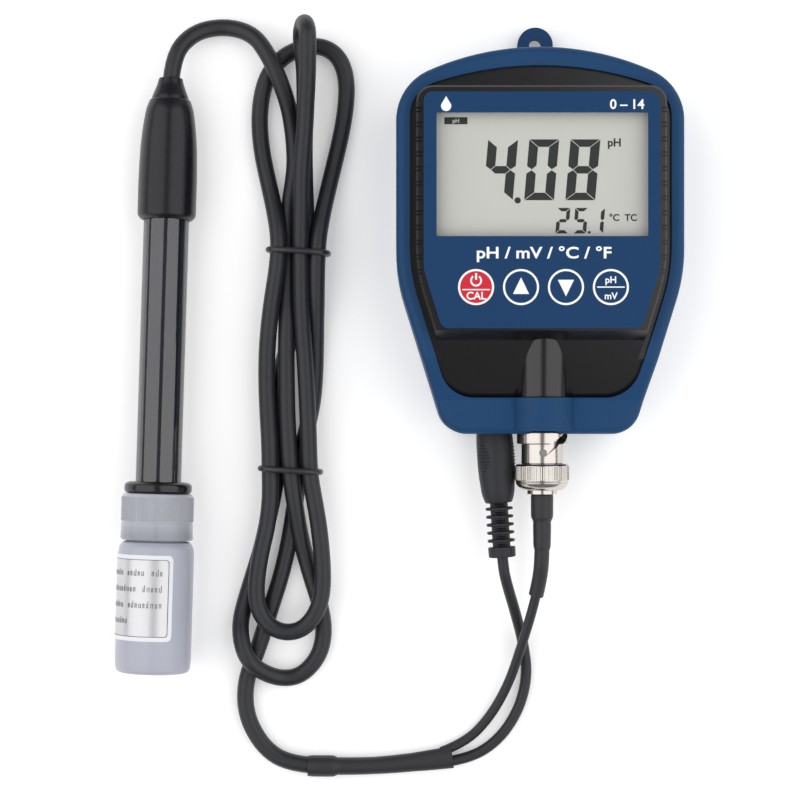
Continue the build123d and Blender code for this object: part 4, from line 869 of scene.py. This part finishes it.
def digit(value, x, top, wide, high, across, upright, lean):
    """A seven-segment digit: its flat shapes, leaning to the right."""
    gap = 0.12
    half = high / 2
    a, u = across, upright
    shapes = {
        "a": [(gap, 0), (wide - gap, 0), (wide - u, -a), (u, -a)],
        "d": [(u, -high + a), (wide - u, -high + a), (wide - gap, -high), (gap, -high)],
        "g": [(u * 0.55, -half), (u, -half + a / 2), (wide - u, -half + a / 2),
              (wide - u * 0.55, -half), (wide - u, -half - a / 2), (u, -half - a / 2)],
        "f": [(0, -gap), (u - gap, -a - gap), (u - gap, -half + a / 2 + gap),
              (u * 0.5, -half + gap), (0, -half + a / 2)],
        "b": [(wide, -gap), (wide, -half + a / 2), (wide - u * 0.5, -half + gap),
              (wide - u + gap, -half + a / 2 + gap), (wide - u + gap, -a - gap)],
        "e": [(0, -half - a / 2), (u * 0.5, -half - gap), (u - gap, -half - a / 2 - gap),
              (u - gap, -high + a + gap), (0, -high + gap)],
        "c": [(wide, -high + gap), (wide - u + gap, -high + a + gap),
              (wide - u + gap, -half - a / 2 - gap), (wide - u * 0.5, -half - gap),
              (wide, -half - a / 2)],
    }
    found = []
    for key in SEGMENTS[value]:
        points = [(x + px + lean * py / high, top + py) for px, py in shapes[key]]
        found.append((points, [tuple(range(len(points)))]))
    return found


def make_display():
    """The dark segments and small marks of the display."""
    big = {"top": 24.85, "wide": 7.6, "high": 15.5, "across": 1.9, "upright": 2.5, "lean": 1.35}
    small = {"top": 7.37, "wide": 3.3, "high": 6.5, "across": 0.85, "upright": 1.05, "lean": 0.55}
    shapes = []
    for size, digits in (
        (big, (("4", -13.5), ("0", -3.0), ("8", 7.5))),
        (small, (("2", 4.15), ("5", 8.7), ("1", 13.0))),
    ):
        for value, x in digits:
            shapes += digit(value, x, **size)
    shapes.append(disc_ring(-6.0, 9.3, 0.8, 0.01, sides=24))
    shapes.append(disc_ring(12.25, 1.15, 0.36, 0.01, sides=16))
    shapes.append(bar(-24.7, -18.8, 28.7, 30.5))
    low = GLASS_TOP + 0.005
    verts, faces = joined(*shapes)
    print_mesh("lcd_segments", lcd_ink, "meter", verts, faces, low, low + 0.03, "lcd")
    legend("lcd_ph", "pH", 16.9, 23.1, 2.1, lcd_ink, "meter", low, "lcd", "LEFT", 0.025)
    legend("lcd_degree", "°C  TC", 17.3, 4.1, 1.75, lcd_ink, "meter", low, "lcd", "LEFT", 0.025)
    legend("lcd_badge", "pH", -21.75, 29.1, 1.05, lcd_grey, "meter", low + 0.035, "lcd")


make_key_prints()
make_film_prints()
make_display()

# ---- Ribs and knurls, made by node trees ----

def start_tree(name, *inputs):
    """A node tree with named inputs: the tree, its inputs' identifiers and its input node."""
    tree = bpy.data.node_groups.new(name, "GeometryNodeTree")
    face = tree.interface
    face.new_socket("Geometry", in_out="OUTPUT", socket_type="NodeSocketGeometry")
    kinds = {"Count": "NodeSocketInt", "Material": "NodeSocketMaterial"}
    keys = {}
    for label in inputs:
        kind = kinds.get(label, "NodeSocketFloat")
        keys[label] = face.new_socket(label, in_out="INPUT", socket_type=kind).identifier
    return tree, keys, tree.nodes.new("NodeGroupInput")


def end_tree(tree, source, points, shape, turns=None, scales=None):
    """Set a shape on every point, make the copies real and give them their material."""
    place = tree.nodes.new("GeometryNodeInstanceOnPoints")
    real = tree.nodes.new("GeometryNodeRealizeInstances")
    coat = tree.nodes.new("GeometryNodeSetMaterial")
    sink = tree.nodes.new("NodeGroupOutput")
    link = tree.links.new
    link(points, place.inputs["Points"])
    link(shape, place.inputs["Instance"])
    if turns is not None:
        link(turns, place.inputs["Rotation"])
    if scales is not None:
        link(scales, place.inputs["Scale"])
    link(place.outputs["Instances"], real.inputs["Geometry"])
    link(real.outputs["Geometry"], coat.inputs["Geometry"])
    link(source.outputs["Material"], coat.inputs["Material"])
    link(coat.outputs["Geometry"], sink.inputs["Geometry"])


def reckon(tree, operation, first, second):
    """A sum in a node tree; each side is a number or a socket."""
    node = tree.nodes.new("ShaderNodeMath")
    node.operation = operation
    for socket, value in zip(node.inputs, (first, second)):
        if isinstance(value, (int, float)):
            socket.default_value = value
        else:
            tree.links.new(value, socket)
    return node.outputs["Value"]


def ring_tree():
    """A node tree that sets bars evenly round a circle, their length along the axis."""
    tree, keys, source = start_tree(
        "bars_round_a_circle", "Count", "Radius", "Width", "Depth", "Length", "Material"
    )
    link = tree.links.new
    circle = tree.nodes.new("GeometryNodeMeshCircle")
    link(source.outputs["Count"], circle.inputs["Vertices"])
    link(source.outputs["Radius"], circle.inputs["Radius"])
    section = tree.nodes.new("GeometryNodeMeshCylinder")
    section.inputs["Vertices"].default_value = 6
    section.inputs["Radius"].default_value = 1.0
    link(source.outputs["Length"], section.inputs["Depth"])
    squeeze = tree.nodes.new("ShaderNodeCombineXYZ")
    link(source.outputs["Depth"], squeeze.inputs["X"])
    link(source.outputs["Width"], squeeze.inputs["Y"])
    squeeze.inputs["Z"].default_value = 1.0
    shape = tree.nodes.new("GeometryNodeTransform")
    link(section.outputs["Mesh"], shape.inputs["Geometry"])
    link(squeeze.outputs["Vector"], shape.inputs["Scale"])
    index = tree.nodes.new("GeometryNodeInputIndex")
    share = reckon(tree, "DIVIDE", index.outputs["Index"], source.outputs["Count"])
    spin = tree.nodes.new("ShaderNodeCombineXYZ")
    link(reckon(tree, "MULTIPLY", share, 2 * math.pi), spin.inputs["Z"])
    end_tree(tree, source, circle.outputs["Mesh"], shape.outputs["Geometry"],
             turns=spin.outputs["Vector"])
    return tree, keys


def row_tree():
    """A node tree that sets rounded bars along a line, shorter towards both its ends."""
    tree, keys, source = start_tree(
        "bars_along_a_line", "Count", "Pitch", "Width", "Height", "Thickness", "Taper", "Material"
    )
    link = tree.links.new
    line = tree.nodes.new("GeometryNodeMeshLine")
    step = tree.nodes.new("ShaderNodeCombineXYZ")
    link(source.outputs["Count"], line.inputs["Count"])
    link(source.outputs["Pitch"], step.inputs["Z"])
    link(step.outputs["Vector"], line.inputs["Offset"])
    bead = tree.nodes.new("GeometryNodeMeshUVSphere")
    bead.inputs["Segments"].default_value = 16
    bead.inputs["Rings"].default_value = 8
    bead.inputs["Radius"].default_value = 0.5
    index = tree.nodes.new("GeometryNodeInputIndex")
    middle = reckon(tree, "ADD", index.outputs["Index"], 0.5)
    share = reckon(tree, "DIVIDE", middle, source.outputs["Count"])
    away = reckon(tree, "SUBTRACT", reckon(tree, "MULTIPLY", share, 2.0), 1.0)
    short = reckon(tree, "MULTIPLY", reckon(tree, "MULTIPLY", away, away), source.outputs["Taper"])
    left = reckon(tree, "POWER", reckon(tree, "SUBTRACT", 1.0, short), 0.5)
    size = tree.nodes.new("ShaderNodeCombineXYZ")
    link(reckon(tree, "MULTIPLY", left, source.outputs["Width"]), size.inputs["X"])
    link(source.outputs["Height"], size.inputs["Y"])
    link(source.outputs["Thickness"], size.inputs["Z"])
    end_tree(tree, source, line.outputs["Mesh"], bead.outputs["Mesh"],
             scales=size.outputs["Vector"])
    return tree, keys


round_bars = ring_tree()
row_bars = row_tree()


def grow(name, tree_and_keys, place, material, body, slot, smooth=False, **sizes):
    """A piece made by a node tree with these sizes, turned into a plain mesh and placed."""
    tree, keys = tree_and_keys
    holder = add_object(name, bpy.data.meshes.new(name))
    modifier = holder.modifiers.new("bars", "NODES")
    modifier.node_group = tree
    for label, value in sizes.items():
        modifier[keys[label]] = value if label in ("Count", "Taper") else value * MM
    modifier[keys["Material"]] = material
    mesh = plain_mesh(holder)
    bpy.data.objects.remove(holder)
    mesh.transform(place)
    mesh.name = name
    mesh.materials.clear()
    for face in mesh.polygons:
        face.use_smooth = smooth
    return fit_out(add_object(name, mesh), material, body, slot)


def middle_of(place, start, end):
    """A placed frame moved along its axis to the middle of a stretch."""
    return place @ Matrix.Translation((0, 0, (start + end) / 2 * MM))


grow("ring_knurl", round_bars, middle_of(socket_frame, 58.85, 62.45), nickel, "locking_ring",
     "nickel", Count=72, Radius=6.96, Width=0.17, Depth=0.17, Length=3.6)
grow("cap_ribs", round_bars, middle_of(probe_frame, 110.9, 117.2), cap_milky, "cap", "cap",
     Count=110, Radius=9.42, Width=0.15, Depth=0.12, Length=6.3)


def make_plug_details():
    """The ribbed oval grips of the temperature plug, and dark ovals painted as the shade in the
    windows of its relief.
    """
    grip = {"Count": 9, "Pitch": 0.85, "Width": 4.6, "Height": 0.9, "Thickness": 0.5, "Taper": 0.9}
    # Sizes of the dark ovals of painted shade in the relief's windows.
    window = {"Count": 6, "Pitch": 2.1, "Width": 2.9, "Height": 1.2, "Thickness": 1.0,
              "Taper": 0.0}
    for name, angle, foot, sizes, material in (
        ("grip_left", 48, (0, 4.62, 5.0), grip, plug_black),
        ("grip_right", -68, (0, 4.62, 5.0), grip, plug_black),
        ("grip_under", 170, (0, 4.62, 5.0), grip, plug_black),
        ("relief_shade_top", 0, (0, 1.98, 20.8), window, relief_painted_shade),
        ("relief_shade_under", 180, (0, 1.98, 20.8), window, relief_painted_shade),
    ):
        place = plug_frame @ Matrix.Rotation(math.radians(angle), 4, "Z")
        place = place @ Matrix.Translation(Vector(foot) * MM)
        grow(name, row_bars, place, material, "temp_plug", "plug", smooth=True, **sizes)


make_plug_details()

# ---- Label ----

LABEL_RADIUS = 10.0
LABEL_FIRST = -33.0
LABEL_WRAP = 250.0
LABEL_LONG = LABEL_WRAP / 180 * math.pi * LABEL_RADIUS
LABEL_LOW = 125.9
LABEL_HIGH = 148.3
LABEL_CORNER = 1.4
INK_LAYER = 0.02


def label_point(across, along, lift):
    """A point on the label, across being the distance round the bottle from its right edge."""
    reach = LABEL_RADIUS + lift
    turn = math.radians(90 + LABEL_FIRST) + across / LABEL_RADIUS
    return probe_frame @ (Vector((reach * math.cos(turn), reach * math.sin(turn), along)) * MM)


def label_outline(inset, corner):
    """The label's outline drawn in by a margin, as (across, along) points."""
    left, right = inset + corner, LABEL_LONG - inset - corner
    low, high = LABEL_LOW + inset + corner, LABEL_HIGH - inset - corner
    points = []
    for x, y, start in ((right, high, 0), (left, high, 90), (left, low, 180), (right, low, 270)):
        for step in range(7):
            turn = math.radians(start + 15 * step)
            points.append((x + corner * math.cos(turn), y + corner * math.sin(turn)))
    return points


def label_ring(outer, inner, lift):
    """A closed band between two outlines of the label, fine enough to follow the bottle."""
    steps = 48
    fine_outer, fine_inner = [], []
    for points, fine in ((outer, fine_outer), (inner, fine_inner)):
        for first, last in zip(points, points[1:] + points[:1]):
            for step in range(steps):
                mix = step / steps
                fine.append(tuple(a + (b - a) * mix for a, b in zip(first, last)))
    verts = [label_point(*spot, lift) for spot in fine_outer + fine_inner]
    verts += [label_point(*spot, lift + INK_LAYER) for spot in fine_outer + fine_inner]
    count = len(fine_outer)
    faces = []
    for k in range(count):
        n = (k + 1) % count
        a, b, c, d = k, n, count + n, count + k
        up = 2 * count
        faces += [(a, b, c, d), (a + up, d + up, c + up, b + up), (a, a + up, b + up, b),
                  (d, c, c + up, d + up)]
    return verts, faces


def label_patch(across0, across1, along0, along1, lift):
    """A small printed stroke on the label."""
    corners = ((across0, along0), (across1, along0), (across1, along1), (across0, along1))
    verts = [label_point(*spot, lift) for spot in corners]
    verts += [label_point(*spot, lift + INK_LAYER) for spot in corners]
    faces = [(3, 2, 1, 0), (4, 5, 6, 7), (0, 1, 5, 4), (1, 2, 6, 5), (2, 3, 7, 6), (3, 0, 4, 7)]
    return verts, faces


def label_strokes():
    """Rows of meaningless upright strokes that stand for small print."""
    widths = (0.5, 0.78, 0.62, 0.7, 0.55, 0.82, 0.6)
    words = (3, 5, 9, 6, 4, 8)
    first_line, line_pitch = 5.4, 4.15
    long_start, short_start, line_end = 3.0, 12.5, 38
    letter_gap, word_gap = 0.42, 1.6
    shapes = []

    def stroke(start, end, low, high):
        shapes.append(label_patch(start, end, low, high, 0.17))

    for row in range(4):
        base = LABEL_LOW + first_line + line_pitch * row
        across = long_start if row < 3 else short_start
        word = row
        mark = row * 5
        while across < line_end:
            for letter in range(words[word % len(words)]):
                wide = widths[mark % len(widths)]
                second = across + wide * 0.62
                stroke(across, across + 0.15, base - (1.75 if mark % 4 == 1 else 1.15), base)
                stroke(second, second + 0.13, base - 1.1, base)
                if mark % 2:
                    stroke(across, across + wide * 0.7, base - 0.14, base)
                else:
                    stroke(across, across + wide * 0.7, base - 1.15, base - 1.0)
                across += wide + letter_gap
                mark += 1
            across += word_gap
            word += 1
    return joined(*shapes)


def make_label():
    """The silver label with a pale margin, a thin border and rows of greeked small print."""
    rows = 100
    verts = []
    for step in range(rows + 1):
        across = LABEL_LONG * step / rows
        room = min(across, LABEL_LONG - across)
        short = 0.0
        if room < LABEL_CORNER:
            short = LABEL_CORNER - math.sqrt(
                max(0.0, LABEL_CORNER**2 - (LABEL_CORNER - room) ** 2)
            )
        for lift in (0.0, 0.1):
            verts.append(label_point(across, LABEL_LOW + short, lift))
            verts.append(label_point(across, LABEL_HIGH - short, lift))
    faces = [(0, 1, 3, 2), (4 * rows, 4 * rows + 2, 4 * rows + 3, 4 * rows + 1)]
    for row in range(rows):
        n = 4 * row
        faces += [(n, n + 4, n + 5, n + 1), (n + 2, n + 3, n + 7, n + 6),
                  (n, n + 2, n + 6, n + 4), (n + 1, n + 5, n + 7, n + 3)]
    film = new_object("label_film", verts, faces, angle=40)
    fit_out(film, label_silver, "bottle", "label", "bottle_label")
    rim = label_outline(0.05, LABEL_CORNER)
    margin = label_outline(1.15, 0.9)
    line = label_outline(1.3, 0.8)
    for name, (verts, faces), material in (
        ("label_margin", label_ring(rim, margin, 0.15), label_margin),
        ("label_border", label_ring(margin, line, 0.18), label_ink),
        ("label_strokes", label_strokes(), label_ink),
    ):
        fit_out(new_object(name, verts, faces, smooth=False), material, "bottle", "label")


make_label()

# ---- Floor and lights ----

def make_floor():
    """A plain pale floor, brighter away from the middle so that it stays pale to its edge."""
    reach = 30.0
    verts = [(-reach, -reach, 0), (reach, -reach, 0), (reach, reach, 0), (-reach, reach, 0)]
    mesh = bpy.data.meshes.new("floor")
    mesh.from_pydata(verts, [], [(0, 1, 2, 3)])
    floor = add_object("floor", mesh)
    floor.location.z = -0.0003
    pale = finish("floor_paint", (0.93, 0.93, 0.93, 1), 0.85, spread=0.01, depth=0.002,
                  specular=0.1)
    tree = pale.node_tree
    shader = tree.nodes["Principled BSDF"]
    shader.inputs["Emission Color"].default_value = (1, 1, 1, 1)
    where = tree.nodes.new("ShaderNodeTexCoord")
    away = tree.nodes.new("ShaderNodeVectorMath")
    away.operation = "LENGTH"
    ramp = tree.nodes.new("ShaderNodeMapRange")
    ramp.inputs["From Min"].default_value = 0.35
    ramp.inputs["From Max"].default_value = 1.6
    ramp.inputs["To Min"].default_value = 0.25
    ramp.inputs["To Max"].default_value = 0.75
    tree.links.new(where.outputs["Object"], away.inputs[0])
    tree.links.new(away.outputs["Value"], ramp.inputs["Value"])
    tree.links.new(ramp.outputs["Result"], shader.inputs["Emission Strength"])
    mesh.materials.append(pale)


def make_light(name, side):
    """A wide soft panel leaning over one side, with a gap straight above the layout."""
    lean = math.radians(43)
    distance = 0.8
    data = bpy.data.lights.new(name, "AREA")
    data.shape = "RECTANGLE"
    data.size = 1.06
    data.size_y = 1.5
    data.energy = 7.0
    light = add_object(name, data)
    light.location = (
        VIEW_CENTRE[0] + side * distance * math.sin(lean), VIEW_CENTRE[1],
        distance * math.cos(lean),
    )
    light.rotation_euler = (0, side * lean, 0)


make_floor()
make_light("panel_left", -1)
make_light("panel_right", 1)
world = bpy.data.worlds.new("studio")
world.use_nodes = True
world.node_tree.nodes["Background"].inputs["Color"].default_value = (1, 1, 1, 1)
world.node_tree.nodes["Background"].inputs["Strength"].default_value = 0.22
scene.world = world
scene.view_settings.view_transform = "Standard"
